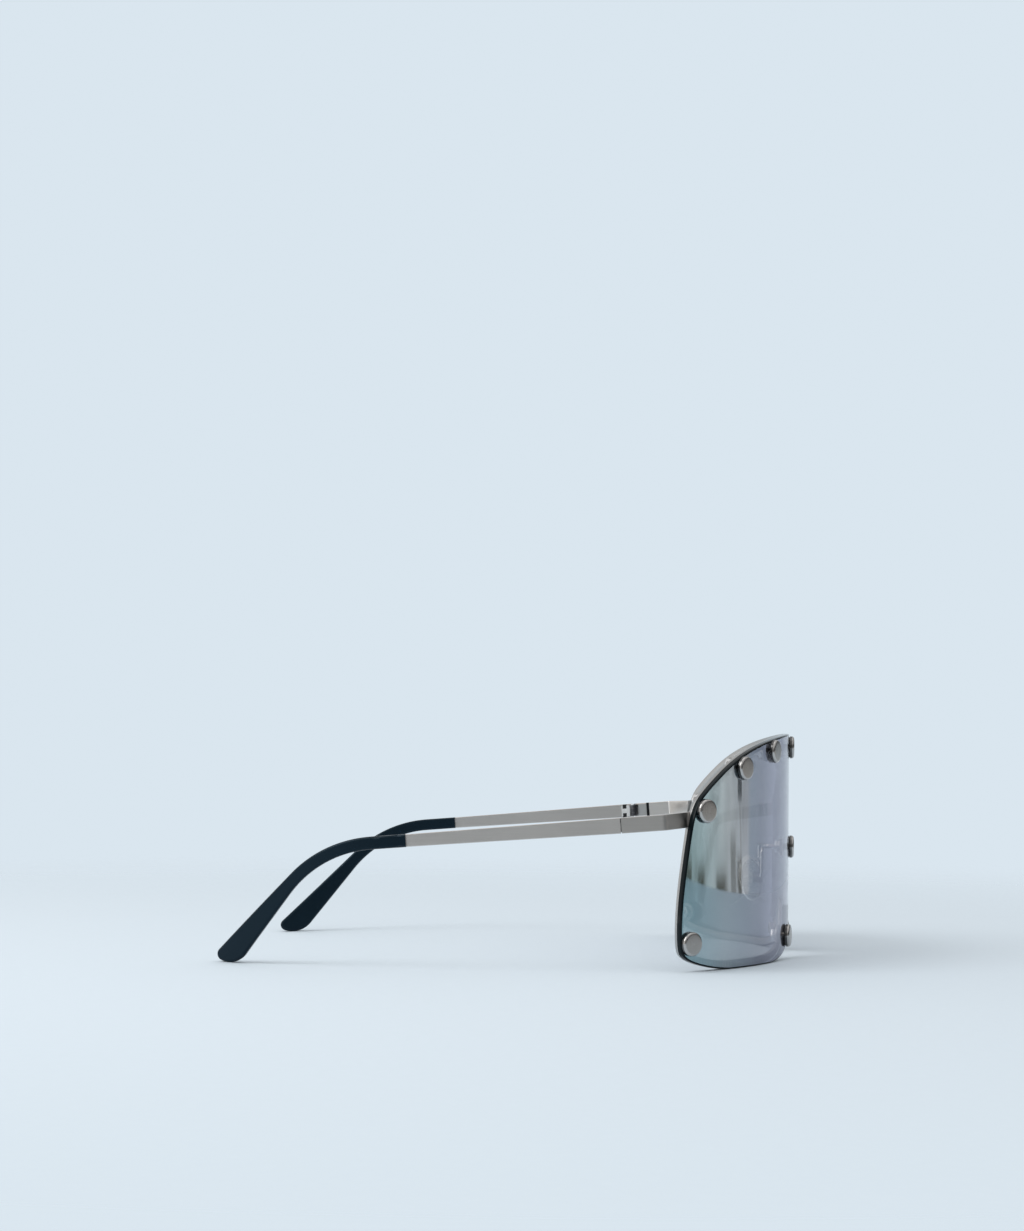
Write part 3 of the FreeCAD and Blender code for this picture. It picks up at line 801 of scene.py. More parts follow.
    @classmethod
    def copies(cls, pattern: bpy.types.Object, places: Sequence[Matrix], name: str) -> bpy.types.Object:
        """Copy one modelled piece to several places and join the copies.

        Args:
            pattern: The piece, at the origin, which stays.
            places: One matrix per copy.
            name: Name of the joined piece.

        Returns:
            The joined piece, with its places in its mesh.
        """
        made = []
        for place in places:
            copy = pattern.copy()
            copy.data = pattern.data.copy()
            copy.data.transform(place)
            bpy.context.scene.collection.objects.link(copy)
            made.append(copy)
        cls.take(*made)
        if len(made) > 1:
            bpy.ops.object.join()
        return cls.named(name)

    @staticmethod
    def dress(piece: bpy.types.Object, material: bpy.types.Material) -> None:
        """Give a piece one material all over."""
        piece.data.materials.clear()
        piece.data.materials.append(material)

    @classmethod
    def stand_in(
        cls, piece: bpy.types.Object, body: str, node: str, slot: str, material: bpy.types.Material,
    ) -> None:
        """Let a new piece stand for a node of the construction and wear a material.

        Args:
            piece: The new piece.
            body: Body that it rides on.
            node: Node that it stands for.
            slot: Material slot of the record; not used.
            material: Material of the piece.
        """
        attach(piece, body)
        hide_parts(node)
        cls.dress(piece, material)


@dataclass
class FrontOutline:
    """Outline of the lens, unrolled: arc length across and height."""

    front_radius: float = 87.1 * MM
    half_arc: float = 78.2 * MM
    high: float = 67.3 * MM
    notch_half_arc: float = 25.0 * MM
    notch_high: float = 15.0 * MM
    steps: int = 12
    corner_shares: Sequence[Point] = (
        (0.176, 1.0), (0.481, 0.965), (0.686, 0.896), (0.843, 0.78), (0.924, 0.692), (0.955, 0.533),
        (0.989, 0.289), (0.994, 0.116), (0.974, 0.047), (0.781, -0.002), (0.566, -0.002),
    )
    notch_shares: Sequence[Point] = ((1.0, 0.0), (0.32, 0.33), (0.16, 1.0))
    rim_stud_shares: Sequence[Point] = (
        (0.0, 0.938), (0.403, 0.922), (0.655, 0.850), (0.876, 0.671), (0.191, 0.102), (0.946, 0.118),
    )
    bridge_stud_shares: Point = (0.0, 0.487)

    def corners(self) -> list[Point]:
        """Work out the outline's corners.

        Returns:
            Corners going once round.
        """
        half = [(s * self.half_arc, z * self.high) for s, z in self.corner_shares]
        half += [(s * self.notch_half_arc, z * self.notch_high) for s, z in self.notch_shares]
        return half + [(-s, z) for s, z in reversed(half)]

    def inset(self, distance: float) -> list[Point]:
        """Move the corners inwards.

        Args:
            distance: How far every side moves.

        Returns:
            The moved corners, going once round.
        """
        corners = self.corners()
        moved = []
        for index, (s, z) in enumerate(corners):
            before, after = corners[index - 1], corners[(index + 1) % len(corners)]
            normals = []
            for (s0, z0), (s1, z1) in ((before, (s, z)), ((s, z), after)):
                run = math.hypot(s1 - s0, z1 - z0)
                normals.append(((z1 - z0) / run, (s0 - s1) / run))
            (a, b), (c, d) = normals
            step = distance / (1 + a * c + b * d)
            moved.append((s + step * (a + c), z + step * (b + d)))
        return moved

    def ring(self, distance: float = 0.0) -> list[Point]:
        """Round the outline between the middles of its sides, and cut it flat at the floor.

        Args:
            distance: How far the outline is moved inwards.

        Returns:
            Points going once round, as many for every distance.
        """
        radius = self.front_radius
        seen = [(math.tan(s / radius), z) for s, z in self.inset(distance)]
        points = []
        for index, corner in enumerate(seen):
            before, after = seen[index - 1], seen[(index + 1) % len(seen)]
            first = [(a + b) / 2 for a, b in zip(before, corner)]
            last = [(a + b) / 2 for a, b in zip(corner, after)]
            for step in range(self.steps):
                t = step / self.steps
                tangent, z = (
                    (1 - t) ** 2 * a + 2 * t * (1 - t) * b + t * t * c
                    for a, b, c in zip(first, corner, last))
                points.append((radius * math.atan(tangent), max(z, 0.0)))
        return points

    def rim_studs(self) -> list[Point]:
        """Place the studs that clamp the rim.

        Returns:
            Arc and height of each stud.
        """
        places = []
        for arc_share, high_share in self.rim_stud_shares:
            for sign in (1, -1) if arc_share else (1,):
                places.append((sign * arc_share * self.half_arc, high_share * self.high))
        return places

    def bridge_stud(self) -> Point:
        """Arc and height of the stud over the notch."""
        return self.bridge_stud_shares[0] * self.half_arc, self.bridge_stud_shares[1] * self.high


@dataclass
class ShieldFront:
    """Lens, rim and the studs, washers and nuts that clamp them."""

    outline: FrontOutline = field(default_factory=FrontOutline)
    lens_thick: float = 1.8 * MM
    lens_chamfer: float = 0.5 * MM
    lens_ease: float = 0.12 * MM
    strip: float = 1.2 * MM
    coat_facing: float = 0.96
    rim_wide: float = 2.2 * MM
    rim_inset: float = 0.2 * MM
    rim_deep: float = 1.2 * MM
    rim_bevel: float = 0.14 * MM
    lug_dia: float = 6.0 * MM
    lug_thick: float = 1.0 * MM
    stud_dia: float = 6.8 * MM
    stud_high: float = 1.3 * MM
    stud_round: float = 0.7 * MM
    stud_crown: float = 0.05 * MM
    shank_dia: float = 2.0 * MM
    shank_ease: float = 0.2 * MM
    washer_thick: float = 0.3 * MM
    nut_dia: float = 4.2 * MM
    nut_high: float = 1.4 * MM
    nut_gap: float = 0.1 * MM
    bore_gap: float = 0.02 * MM
    sides: int = 64
    body: str = "front_frame"

    def front_y(self) -> float:
        """Place of the lens's foremost line."""
        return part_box("shield_lens")[0].y

    def axis_y(self) -> float:
        """Place of the upright axis that the lens is bent round."""
        return self.front_y() + self.outline.front_radius

    def bend(self, piece: bpy.types.Object) -> None:
        """Bend a flat blank, with the lens front at Y zero, round the lens's axis.

        Args:
            piece: The flat piece.
        """
        xs = [vertex.co.x for vertex in piece.data.vertices]
        turn = (max(xs) - min(xs)) / self.outline.front_radius
        Bench.apply(piece, "SIMPLE_DEFORM", deform_method="BEND", deform_axis="Z", angle=turn)
        piece.location.y = self.front_y()
        Bench.settle(piece)

    def flat_ring(self, name: str, points: Sequence[Point], y: float, filled: bool) -> bpy.types.Object:
        """Add a circle and pull its points onto an outline.

        Args:
            name: Name of the piece.
            points: Arc and height of each point.
            y: Depth of the ring behind the lens front.
            filled: Whether the ring is one face.

        Returns:
            The flat piece.
        """
        Bench.clear()
        fill = "NGON" if filled else "NOTHING"
        bpy.ops.mesh.primitive_circle_add(vertices=len(points), radius=self.outline.high, fill_type=fill)
        piece = Bench.named(name)
        for vertex, (s, z) in zip(piece.data.vertices, points):
            vertex.co = (s, y, z)
        return piece

    def build_lens(self) -> bpy.types.Object:
        """Cut the lens from flat sheet, ease its edges and bend it.

        Returns:
            The lens, with the mark of its coat.
        """
        lens = self.flat_ring("lens_shield", self.outline.ring(), 0.0, True)
        thick = self.lens_thick
        with Bench.edit(lens):
            bpy.ops.mesh.select_all(action="SELECT")
            bpy.ops.mesh.extrude_region_move(TRANSFORM_OT_translate={"value": (0, thick, 0)})
            bpy.ops.mesh.select_all(action="SELECT")
            bpy.ops.mesh.normals_make_consistent(inside=False)
        for y, width in ((0.0, self.lens_chamfer), (thick, self.lens_ease)):
            Bench.ease(lens, lambda edge: all(abs(v.co.y - y) < thick / 9 for v in edge.verts), width, 2)
        with Bench.edit(lens):
            count = round(2 * self.outline.half_arc / self.strip)
            for index in range(1, count):
                place = (2 * index / count - 1) * self.outline.half_arc
                bpy.ops.mesh.select_all(action="SELECT")
                bpy.ops.mesh.bisect(plane_co=(place, 0, 0), plane_no=(1, 0, 0))
        self.bend(lens)
        self.mark_coat(lens)
        Bench.smooth(lens, 20.0)
        return lens

    def mark_coat(self, lens: bpy.types.Object) -> None:
        """Store on each face whether it is the coated outside (1), the inside (-1) or the edge (0).

        Args:
            lens: The bent lens.
        """
        coat = lens.data.attributes.new("coat", "FLOAT", "FACE")
        axis_y = self.axis_y()
        for face in lens.data.polygons:
            out = Vector((face.center.x, face.center.y - axis_y, 0)).normalized()
            facing = face.normal.dot(out)
            coat.data[face.index].value = math.copysign(abs(facing) > self.coat_facing, facing)

    def build_rim(self) -> bpy.types.Object:
        """Draw the rim band from its outer line, add the lugs and mill the nut seats, then bend it.

        Returns:
            The rim.
        """
        outer = self.outline.ring(self.rim_inset)
        inner = self.outline.ring(self.rim_inset + self.rim_wide)
        count = len(outer)
        rim = self.flat_ring("rim_band", outer, self.lens_thick, False)
        with Bench.edit(rim, Pick.EDGE):
            bpy.ops.mesh.select_all(action="SELECT")
            bpy.ops.mesh.extrude_edges_move(TRANSFORM_OT_translate={"value": (0, 0, 0)})
        for vertex, (s, z) in zip(rim.data.vertices[count:], inner):
            vertex.co = (s, self.lens_thick, z)
        with Bench.edit(rim):
            bpy.ops.mesh.select_all(action="SELECT")
            bpy.ops.mesh.extrude_region_move(TRANSFORM_OT_translate={"value": (0, self.rim_deep, 0)})
        self.mark_along(rim, outer)
        Bench.outwards(rim)
        Bench.apply(rim, "BEVEL", width=self.rim_bevel, segments=2, limit_method="ANGLE",
                    angle_limit=math.radians(40))
        self.add_lugs(rim)
        self.mill_seats(rim)
        self.bend(rim)
        Bench.smooth(rim)
        return rim

    def mark_along(self, rim: bpy.types.Object, line: Sequence[Point]) -> None:
        """Store on each point of the band how far round it lies and how far across.

        Args:
            rim: The flat band.
            line: Points of its outer line.
        """
        run, runs = 0.0, []
        for index, (s, z) in enumerate(line):
            runs.append(run)
            after = line[(index + 1) % len(line)]
            run += math.hypot(after[0] - s, after[1] - z)
        along = rim.data.attributes.new("along", "FLOAT", "POINT")
        across = rim.data.attributes.new("across", "FLOAT", "POINT")
        for index, vertex in enumerate(rim.data.vertices):
            s, z = line[index % len(line)]
            along.data[index].value = runs[index % len(line)]
            across.data[index].value = math.hypot(vertex.co.x - s, vertex.co.z - z) + vertex.co.y

    def discs(self, name: str, diameter: float, high: float, y: float) -> bpy.types.Object:
        """Add flat discs along Y, one at each rim stud, from a depth backwards.

        Args:
            name: Name of the joined discs.
            diameter: Diameter of a disc.
            high: Thickness of a disc.
            y: Depth of the discs' front behind the lens front.

        Returns:
            The joined discs.
        """
        disc = Bench.cylinder("disc", self.sides, diameter / 2, high, rotation=(math.pi / 2, 0, 0))
        places = [Matrix.Translation((s, y + high / 2, z)) for s, z in self.outline.rim_studs()]
        made = Bench.copies(disc, places, name)
        bpy.data.objects.remove(disc)
        return made

    def add_lugs(self, rim: bpy.types.Object) -> None:
        """Join the round lugs, with eased edges, to the band.

        Args:
            rim: The flat band.
        """
        lugs = self.discs("rim_lugs", self.lug_dia, self.lug_thick, self.lens_thick)
        Bench.apply(lugs, "BEVEL", width=self.rim_bevel, segments=2, limit_method="ANGLE")
        Bench.take(rim, lugs)
        bpy.ops.object.join()

    def mill_seats(self, rim: bpy.types.Object) -> None:
        """Cut a flat round seat for each nut into the deep part of the band.

        Args:
            rim: The flat band with its lugs.
        """
        start = self.lens_thick + self.lug_thick
        mills = self.discs("seat_mills", self.nut_dia + 2 * self.nut_gap, 2 * self.rim_deep, start)
        Bench.combine(rim, mills, "DIFFERENCE", use_self=True)

    def stud_frame(self, place: Point, lift: float) -> Matrix:
        """Work out a frame on the lens whose Z points outwards.

        Args:
            place: Arc and height on the lens.
            lift: Distance out of the lens's outer face.

        Returns:
            Matrix from the stud's own axes to the construction's frame.
        """
        angle = place[0] / self.outline.front_radius
        out = Vector((math.sin(angle), -math.cos(angle), 0))
        base = Vector((0, self.axis_y(), place[1])) + out * (self.outline.front_radius + lift)
        up = Vector((0, 0, 1))
        turn = Matrix((up.cross(out), up, out)).transposed()
        return Matrix.Translation(base) @ turn.to_4x4()

    def all_studs(self, lift: float) -> list[Matrix]:
        """Frames of all studs at a distance out of the lens's outer face."""
        places = self.outline.rim_studs() + [self.outline.bridge_stud()]
        return [self.stud_frame(place, lift) for place in places]

    def build_studs(self) -> bpy.types.Object:
        """Turn one stud, with a crowned head and a shank, and set a copy at each place.

        Returns:
            All studs as one piece.
        """
        top = self.stud_high - self.stud_crown
        shank = self.washer_thick + self.lens_thick + self.lug_thick + self.nut_high
        stud = Bench.cylinder("stud", self.sides, self.stud_dia / 2, top, location=(0, 0, top / 2))
        with Bench.edit(stud):
            Bench.pick(stud, Pick.FACE, lambda face: face.normal.z < -0.9)
            bpy.ops.mesh.inset(thickness=(self.stud_dia - self.shank_dia) / 2, depth=0)
            bpy.ops.mesh.extrude_region_move(TRANSFORM_OT_translate={"value": (0, 0, -shank)})
        Bench.ease(stud, lambda edge: all(v.co.z > top * 0.9 for v in edge.verts), self.stud_round, 6)
        foot = self.shank_ease - shank
        Bench.ease(stud, lambda edge: all(v.co.z < foot for v in edge.verts), self.shank_ease, 3)
        flat = self.stud_dia / 2 - self.stud_round
        Bench.crown(stud, lambda face: face.normal.z > 0.999 and len(face.verts) > 4, flat, self.stud_crown)
        turned = stud.data.attributes.new("turned", "FLOAT", "POINT")
        for index, vertex in enumerate(stud.data.vertices):
            turned.data[index].value = math.hypot(vertex.co.x, vertex.co.y)
        Bench.smooth(stud, 40.0)
        made = Bench.copies(stud, self.all_studs(self.washer_thick), "turned_studs")
        bpy.data.objects.remove(stud)
        return made

    def build_nuts(self) -> bpy.types.Object:
        """Shape one hexagon nut with eased corners and a bore, and set a copy behind each stud.

        Returns:
            All nuts as one piece.
        """
        nut = Bench.cylinder(
            "nut", 6, self.nut_dia / 2, self.nut_high, rotation=(0, 0, math.pi / 6),
            location=(0, 0, -self.nut_high / 2))
        Bench.apply(nut, "BEVEL", width=self.nut_high / 10, segments=2, limit_method="ANGLE")
        bore = Bench.cylinder(
            "nut_bore", self.sides // 2, self.shank_dia / 2 + self.bore_gap, 3 * self.nut_high)
        Bench.combine(nut, bore, "DIFFERENCE")
        Bench.smooth(nut)
        made = Bench.copies(nut, self.all_studs(-self.lens_thick - self.lug_thick), "hex_nuts")
        bpy.data.objects.remove(nut)
        return made

    def build(self) -> list[bpy.types.Object]:
        """Make the front's new pieces, set them on the frame and dress them.

        Returns:
            The new pieces.
        """
        half_wide = self.outline.front_radius * math.sin(self.outline.half_arc / self.outline.front_radius)
        mirror = FlashMirror("flash_mirror", half_wide)
        rim_satin = FineSteel("rim_satin", (0.375, 0.375, 0.37), 0.34, Grain.ALONG_RIM)
        turned = TurnedSteel(
            "stud_turned", (0.34, 0.325, 0.31), 0.3, Grain.ROUND_AXIS, line=0.12 * MM, run=30 * MM,
            radius=self.stud_dia / 2, shoulder=self.stud_round)
        bright = FineSteel("nut_bright", (0.6, 0.6, 0.6), 0.28, Grain.ALONG_BAR)
        rows = (
            (self.build_lens(), "shield_lens", "mirror_lens", mirror),
            (self.build_rim(), "front_rim", "satin_steel", rim_satin),
            (self.build_studs(), "lens_studs", "stud_steel", turned),
            (self.build_nuts(), "stud_nuts", "fastener_steel", bright),
        )
        for piece, node, slot, finish in rows:
            Bench.stand_in(piece, self.body, node, slot, finish.material())
        return [row[0] for row in rows]


@dataclass
class NosePads:
    """Clear nose pads: a crowned oval with a stem whose eye hangs on the pad screw."""

    record: dict[str, Any]
    long: float = 13.0 * MM
    wide: float = 7.2 * MM
    thick: float = 2.3 * MM
    start: float = 2.1 * MM
    crown: float = 0.3 * MM
    edge_round: float = 0.8 * MM
    stem_wide: float = 1.6 * MM
    stem_high: float = 1.4 * MM
    stem_back: float = 0.8 * MM
    stem_round: float = 0.2 * MM
    eye_dia: float = 0.86 * MM
    splay: float = math.radians(24)
    lean: float = math.radians(12)
    sides: int = 64

    def build_oval(self) -> bpy.types.Object:
        """Shape the oval: rounded rims, crowned on the nose's side.

        Returns:
            The oval, with the pad screw at the origin.
        """
        deep = self.thick - self.crown
        pad = Bench.cylinder(
            "nose_pad", self.sides, 0.5, deep, rotation=(0, math.pi / 2, 0),
            location=(self.start + deep / 2, 0, 0))
        pad.scale = (1.0, self.wide, self.long)
        Bench.settle(pad)
        for x in (self.start, self.start + deep):
            Bench.ease(
                pad, lambda edge: all(abs(v.co.x - x) < deep / 9 for v in edge.verts), self.edge_round, 6)
        flat = self.wide / 2 - self.edge_round
        Bench.crown(pad, lambda face: face.normal.x > 0.999 and len(face.verts) > 4, flat, self.crown)
        return pad

    def build_stem(self) -> bpy.types.Object:
        """Shape the stem, eased along its edges, from behind the screw into the oval.

        Returns:
            The stem.
        """
        end = self.start + self.thick / 2
        Bench.clear()
        bpy.ops.mesh.primitive_cube_add(size=1.0, location=((end - self.stem_back) / 2, 0, 0))
        stem = Bench.named("pad_stem")
        stem.scale = (end + self.stem_back, self.stem_wide, self.stem_high)
        Bench.settle(stem)
        Bench.apply(stem, "BEVEL", width=self.stem_round, segments=3, limit_method="ANGLE")
        return stem

    def build_pad(self) -> bpy.types.Object:
        """Join oval and stem into one pad and drill the eye for the pad screw.

        Returns:
            The pad, with the pad screw at the origin.
        """
        pad = self.build_oval()
        Bench.combine(pad, self.build_stem(), "UNION")
        drill = Bench.cylinder(
            "pad_eye", self.sides // 2, self.eye_dia / 2, 2 * self.stem_wide, rotation=(math.pi / 2, 0, 0))
        Bench.combine(pad, drill, "DIFFERENCE")
        Bench.smooth(pad)
        return pad

    def place(self, side: Side) -> Matrix:
        """Work out where a pad sits.

        Args:
            side: The wearer's side.

        Returns:
            Matrix from the pad's own axes, with X towards the nose and Z up it, to that side's place.
        """
        name = f"pad_rock_{Side.RIGHT.tag}"
        joint = next(row for row in self.record["behaviour"]["joints"] if row["name"] == name)
        right = (Matrix.Translation(joint["pos_m"]) @ Matrix.Rotation(self.splay, 4, "Z")
                 @ Matrix.Rotation(self.lean, 4, "Y"))
        return right if side is Side.RIGHT else Matrix.Scale(-1, 4, (1, 0, 0)) @ right

    def build(self) -> list[bpy.types.Object]:
        """Model one pad, set a copy on each side's pad screw and dress them.

        Returns:
            The new pieces.
        """
        pattern = self.build_pad()
        silicone = ClearSilicone("pad_silicone").material()
        made = []
        for side in Side:
            pad = Bench.copies(pattern, [self.place(side)], f"soft_pad_{side.tag}")
            Bench.outwards(pad)
            Bench.stand_in(pad, f"pad_{side.tag}", f"nose_pad_{side.tag}", "clear_silicone", silicone)
            made.append(pad)
        bpy.data.objects.remove(pattern)
        return made


@dataclass
class Dressing:
    """Finishes of the construction's own nodes that keep their shape."""

    frame: dict[str, Any]

    def pin(self) -> Sequence[float]:
        """Look up the right hinge's pin.

        Returns:
            Its place.
        """
        name = f"temple_fold_{Side.RIGHT.tag}"
        rows = self.frame["record"]["behaviour"]["joints"]
        return next(row["pos_m"] for row in rows if row["name"] == name)

    def finishes(self) -> dict[str, bpy.types.Material]:
        """Make the finishes.

        Returns:
            Materials by kind of node, or else by material slot.
        """
        pin, bar = self.pin(), Grain.ALONG_BAR
        made = {
            # painted shade in the notch beside the temple's hinge leaf
            "temple": GroovedSteel(
                "bar_satin", (0.525, 0.5, 0.478), 0.34, bar, pin=pin, sunk=(-0.2 * MM, 0.1 * MM),
                along=(2.45 * MM, 3.85 * MM), dark=(0.05, 0.05, 0.05)),
            # the bars' steel in a darker tint on the end pieces: painted shade
            "end_piece": EndSteel("end_satin", (0.44, 0.42, 0.40), 0.34, bar, pin=pin),
            "hinge_temple_leaf": HingeSteel("leaf_bright", (0.86, 0.85, 0.83), 0.45, bar, pin=pin),
            "hinge_front_leaf": HingeSteel("leaf_grey", (0.5, 0.5, 0.49), 0.4, bar, pin=pin),
            "satin_steel": FineSteel("wire_satin", (0.62, 0.605, 0.59), 0.34, bar),
            "fastener_steel": FineSteel("fastener_bright", (0.66, 0.66, 0.66), 0.24, bar),
            "black_acetate": Moulded(
                "tip_acetate", (0.003, 0.009, 0.015), 0.3, gloss=0.2, gloss_tint=(0.55, 0.8, 1.0)),
            "black_nylon": Moulded("washer_nylon", (0.012, 0.013, 0.014), 0.5),
        }
        return {kind: finish.material() for kind, finish in made.items()}

    def build(self) -> list[bpy.types.Object]:
        """Give every node its finish; one that a new piece stands for stays out of sight in bright steel.

        Returns:
            The dressed nodes.
        """
        finishes = self.finishes()
        made = []
        for row in self.frame["record"]["subparts"]:
            kind = row["node"].rsplit("_", 1)[0]
            by_slot = finishes.get(row["material_slot"], finishes["fastener_steel"])
            node = self.frame["nodes"][row["node"]]
            Bench.dress(node, finishes.get(kind, by_slot))
            made.append(node)
        return made


@dataclass(frozen=True)
class Streak:
    """A dark fold of the curtain that the lens mirrors: direction, half width, upper end and depth."""

    azimuth: float
    half: float
    top: float
    depth: float


@dataclass
class Studio:
    """Camera, floor, world and lamps."""

    camera_place: Sequence[float] = (-0.78285, -0.054515, 0.06695)
    yaw: float = -0.0741
    pitch: float = 0.04598
    roll: float = 0.01006
    focal_px: float = 2533.5
    image_high_px: int = 1231
    sensor: float = 36.0
    near_clip: float = 0.01
    paper: Colour = (0.700, 0.790, 0.862)
    paper_grain: float = 0.03
    floor_half: float = 4.0
    fade: Point = (0.13, 0.6)
    mirror_fade: Point = (0.3, 1.1)
    mirror_gain: float = 0.15
    table_edge: float = 0.427
    table_soft: float = 0.004
    table_slant: float = 0.587
    fill: Colour = (0.66, 0.66, 0.66)
    wall: Colour = (0.26, 0.26, 0.25)
    corner: Colour = (0.07, 0.075, 0.08)
    panel: Colour = (0.96, 0.96, 0.96)
    panel_in: Point = (0.64, 0.68)
    panel_out: Point = (0.90, 0.86)
    panel_gain: float = 0.8
    ceiling: Colour = (0.78, 0.78, 0.78)
    ceiling_rise: Point = (0.25, 0.65)
    horizon: Point = (0.0005, 0.012)
    curtain: Colour = (0.93, 0.91, 0.88)
    curtain_shares: Point = (0.17, 0.205)
    curtain_end: float = -1.083
    curtain_end_soft: float = 0.002
    curtain_gain: float = 0.74
    fold_scale: Point = (3.4, 8.0)
    fold_depth: float = 1.3
    fold_sway: float = 0.1
    fold_foot: float = 0.012
    fold_brown: Colour = (0.15, 0.12, 0.07)
    post: float = -1.203
    post_half: Point = (0.03, 0.02)
    post_foot: Point = (-0.028, -0.023)
    post_depth: float = 0.97
    streaks: Sequence[Streak] = (
        Streak(-1.279, 0.045, -0.034, 0.6), Streak(-1.21, 0.035, -0.043, 0.9),
        Streak(-1.195, 0.016, -0.01, 0.35), Streak(-1.41, 0.10, -0.049, 1.0),
        Streak(-1.605, 0.06, -0.046, 0.95), Streak(-1.71, 0.035, -0.043, 0.85),
        Streak(-1.765, 0.06, -0.045, 1.0))

    def set_camera(self) -> None:
        """Stand the camera where the photograph was taken from."""
        ahead = Vector((
            math.cos(self.yaw) * math.cos(self.pitch),
            -math.sin(self.yaw) * math.cos(self.pitch),
            math.sin(self.pitch)))
        level = Vector((-math.sin(self.yaw), -math.cos(self.yaw), 0))
        up = level.cross(ahead)
        right = level * math.cos(self.roll) + up * math.sin(self.roll)
        top = up * math.cos(self.roll) - level * math.sin(self.roll)
        data = bpy.data.cameras.new("camera")
        data.lens = self.sensor * self.focal_px / self.image_high_px
        data.sensor_width = self.sensor
        data.clip_start = self.near_clip
        camera = bpy.data.objects.new("camera", data)
        bpy.context.scene.collection.objects.link(camera)
        turn = Matrix((right, top, -ahead)).transposed()
        camera.matrix_world = Matrix.Translation(self.camera_place) @ turn.to_4x4()
        bpy.context.scene.camera = camera

    def lay_floor(self) -> None:
        """Lay the pale floor, which fades into the background, sooner to the eye than in mirrors."""
        Bench.clear()
        bpy.ops.mesh.primitive_plane_add(size=2 * self.floor_half)
        floor = Bench.named("floor")
        made = bpy.data.materials.new("floor_paper")
        made.use_nodes = True
        graph = Graph(made.node_tree)
        x, y, _ = graph.parts(graph.coordinate("Object"))
        glossy = graph.ray("Is Glossy Ray")
        past_edge = (y - x * self.table_slant).step(-self.table_edge, -self.table_edge - self.table_soft)
        far = (x * x + y * y).root()
        shown = far.step(*self.fade)
        mirrored = far.step(*self.mirror_fade).most(past_edge)
        fade = shown + glossy * (mirrored - shown)
        grain = graph.noise(graph.coordinate("Object"), 300.0, 3.0)
        # painted light: the floor is brighter where mirrors see it than where the camera does
        shade = (1.0 - self.paper_grain / 2 + grain * self.paper_grain) * (1.0 + glossy * self.mirror_gain)
        paper = graph.node("ShaderNodeBsdfPrincipled", None, {
            "Base Color": graph.scaled(self.paper, shade), "Roughness": 0.8})
        clear = graph.node("ShaderNodeBsdfTransparent")
        shader = graph.node("ShaderNodeMixShader", None, {0: fade, 1: paper, 2: clear})
        graph.node("ShaderNodeOutputMaterial", None, {"Surface": shader})
        Bench.dress(floor, made)

    def hang_curtain(self, graph: Graph, low: Socket, azimuth: Socket, z: Socket) -> Socket:
        """Give the curtain under the horizon its folds and the post in front of it.

        Args:
            graph: The world's nodes.
            low: Colour of the room under the horizon.
            azimuth: Direction round the glasses, zero along X.
            z: Upward part of the direction.

        Returns:
            The colour with folds and post.
        """
        round_share = azimuth * (1 / math.tau) + 0.5
        end, soft = self.curtain_end / math.tau + 0.5, self.curtain_end_soft
        hung = round_share.step(*self.curtain_shares) * round_share.step(end + soft, end - soft)
        wide, high = self.fold_scale
        place = graph.node("ShaderNodeCombineXYZ", None, {0: azimuth * wide, 1: z * high})
        folds = graph.noise(place, 3.0, 3.0)
        beside = round_share.step(*self.panel_in) * round_share.step(*self.panel_out)
        gain = 1.0 + beside * self.panel_gain + hung * (self.curtain_gain - folds * self.fold_depth)
        low = graph.scaled(low, gain)
        for streak in self.streaks:
            offset = abs(azimuth - streak.azimuth + (folds - 0.5) * self.fold_sway)
            near = offset.step(streak.half, streak.half / 3)
            below = z.step(streak.top, streak.top - self.fold_foot)
            low = graph.mix(near * below * streak.depth, low, self.fold_brown)
        post = abs(azimuth - self.post).step(*self.post_half) * z.step(*self.post_foot)
        return graph.scaled(low, 1.0 - post * self.post_depth)

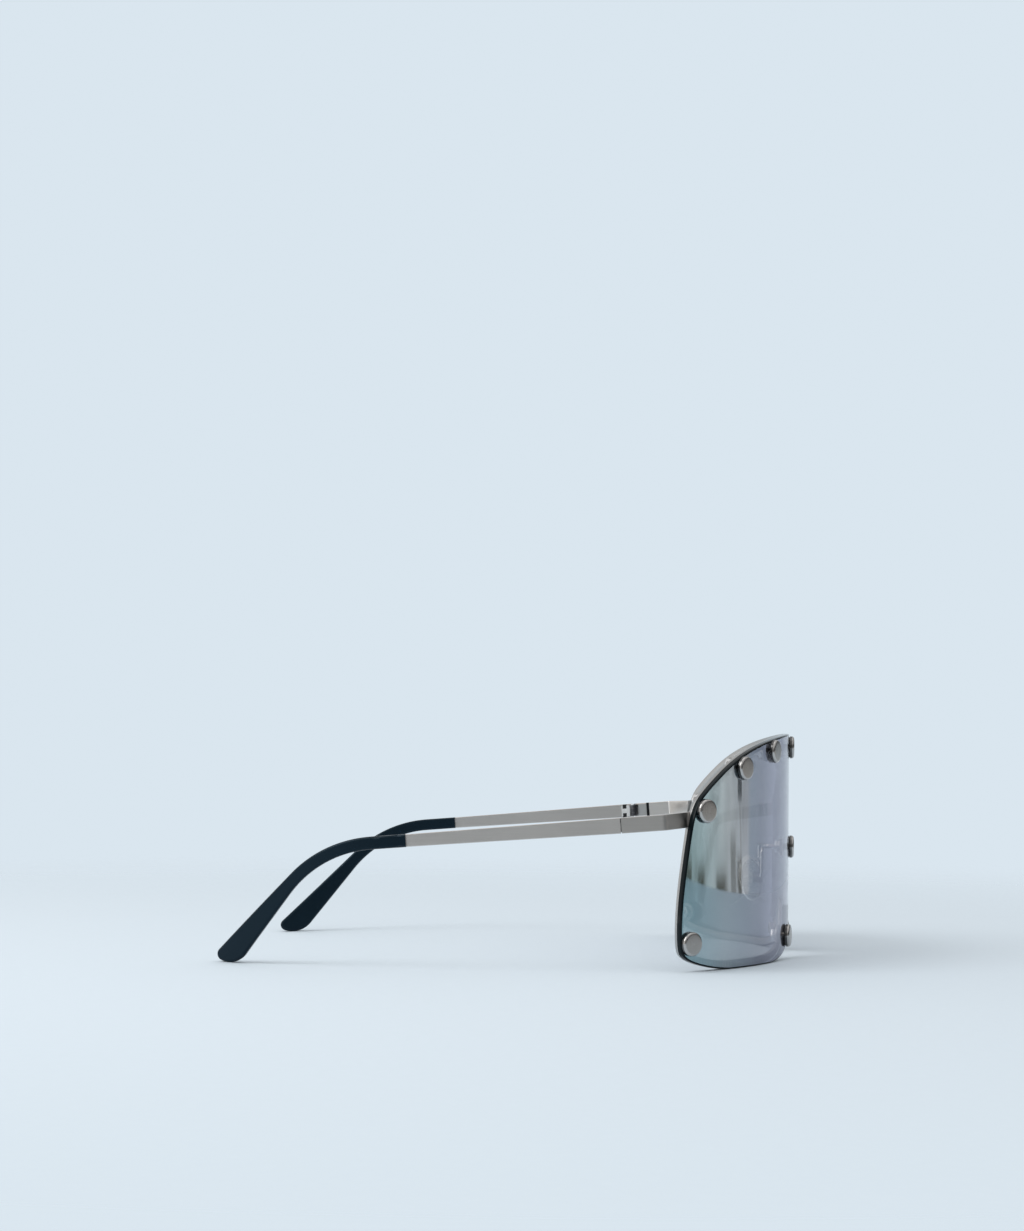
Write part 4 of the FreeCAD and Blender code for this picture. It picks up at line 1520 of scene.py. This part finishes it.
    def room(self, graph: Graph, azimuth: Socket, z: Socket) -> Socket:
        """Colour the studio that glossy faces mirror.

        Args:
            graph: The world's nodes.
            azimuth: Direction round the glasses, zero along X.
            z: Upward part of the direction.

        Returns:
            The colour in that direction.
        """
        round_share = azimuth * (1 / math.tau) + 0.5
        end, soft = self.curtain_end / math.tau + 0.5, self.curtain_end_soft
        start, full = self.curtain_shares
        camera_side = [(0.0, self.wall), (0.06, self.wall), (0.115, self.corner)]
        past_lens = [
            (0.58, self.paper), (0.66, self.panel), (0.895, self.panel), (0.95, self.wall), (1.0, self.wall)]
        low = graph.ramp(round_share, camera_side + [
            (start, self.corner), (full, self.curtain), (end - soft, self.curtain), (end + soft, self.paper),
        ] + past_lens)
        high = graph.ramp(round_share, camera_side + [(0.40, self.corner), (0.47, self.paper)] + past_lens)
        low = self.hang_curtain(graph, low, azimuth, z)
        around = graph.mix(z.step(*self.horizon), low, high)
        return graph.mix(z.step(*self.ceiling_rise), around, self.ceiling)

    def light_world(self) -> None:
        """Surround the object with pale paper, a darker room side and soft light from all round."""
        world = bpy.data.worlds.new("world")
        bpy.context.scene.world = world
        world.use_nodes = True
        graph = Graph(world.node_tree)
        x, y, z = graph.parts(graph.coordinate("Generated"))
        seen = self.room(graph, y.angle_from(x), z)
        sharp = graph.ray("Is Glossy Ray").most(graph.ray("Is Transmission Ray"))
        lit = graph.mix(sharp, self.fill, seen)
        shown = graph.mix(graph.ray("Is Camera Ray"), lit, self.paper)
        sky = graph.node("ShaderNodeBackground", None, {"Color": shown, "Strength": 1.0})
        graph.node("ShaderNodeOutputWorld", None, {"Surface": sky})

    def add_lamp(self, name: str, place: Sequence[float], wide: float, watts: float) -> None:
        """Hang one square soft lamp that faces the glasses.

        Args:
            name: Name of the lamp.
            place: Where it hangs.
            wide: Length of its side.
            watts: Power.
        """
        data = bpy.data.lights.new(name, "AREA")
        data.shape = "SQUARE"
        data.size = wide
        data.energy = watts
        lamp = bpy.data.objects.new(name, data)
        lamp.location = place
        lamp.rotation_euler = (-Vector(place)).to_track_quat("-Z", "Y").to_euler()
        bpy.context.scene.collection.objects.link(lamp)

    def build(self) -> None:
        """Set up the view and the light."""
        self.set_camera()
        self.lay_floor()
        self.light_world()
        self.add_lamp("key_lamp", (-0.45, 0.75, 0.85), 0.7, 6.0)
        self.add_lamp("top_lamp", (0.1, -0.1, 1.2), 0.8, 1.2)
        bpy.context.scene.view_settings.view_transform = "Standard"


def main() -> None:
    """Build the glasses and the studio and report each piece's faces and material."""
    logging.basicConfig(level=logging.INFO, format="%(name)s: %(message)s")
    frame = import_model()
    pieces = Dressing(frame).build() + ShieldFront().build() + NosePads(frame["record"]).build()
    Studio().build()
    for piece in pieces:
        LOG.info("%s: %d faces, %s", piece.name, len(piece.data.polygons), piece.data.materials[0].name)


if __name__ == "__main__":
    main()
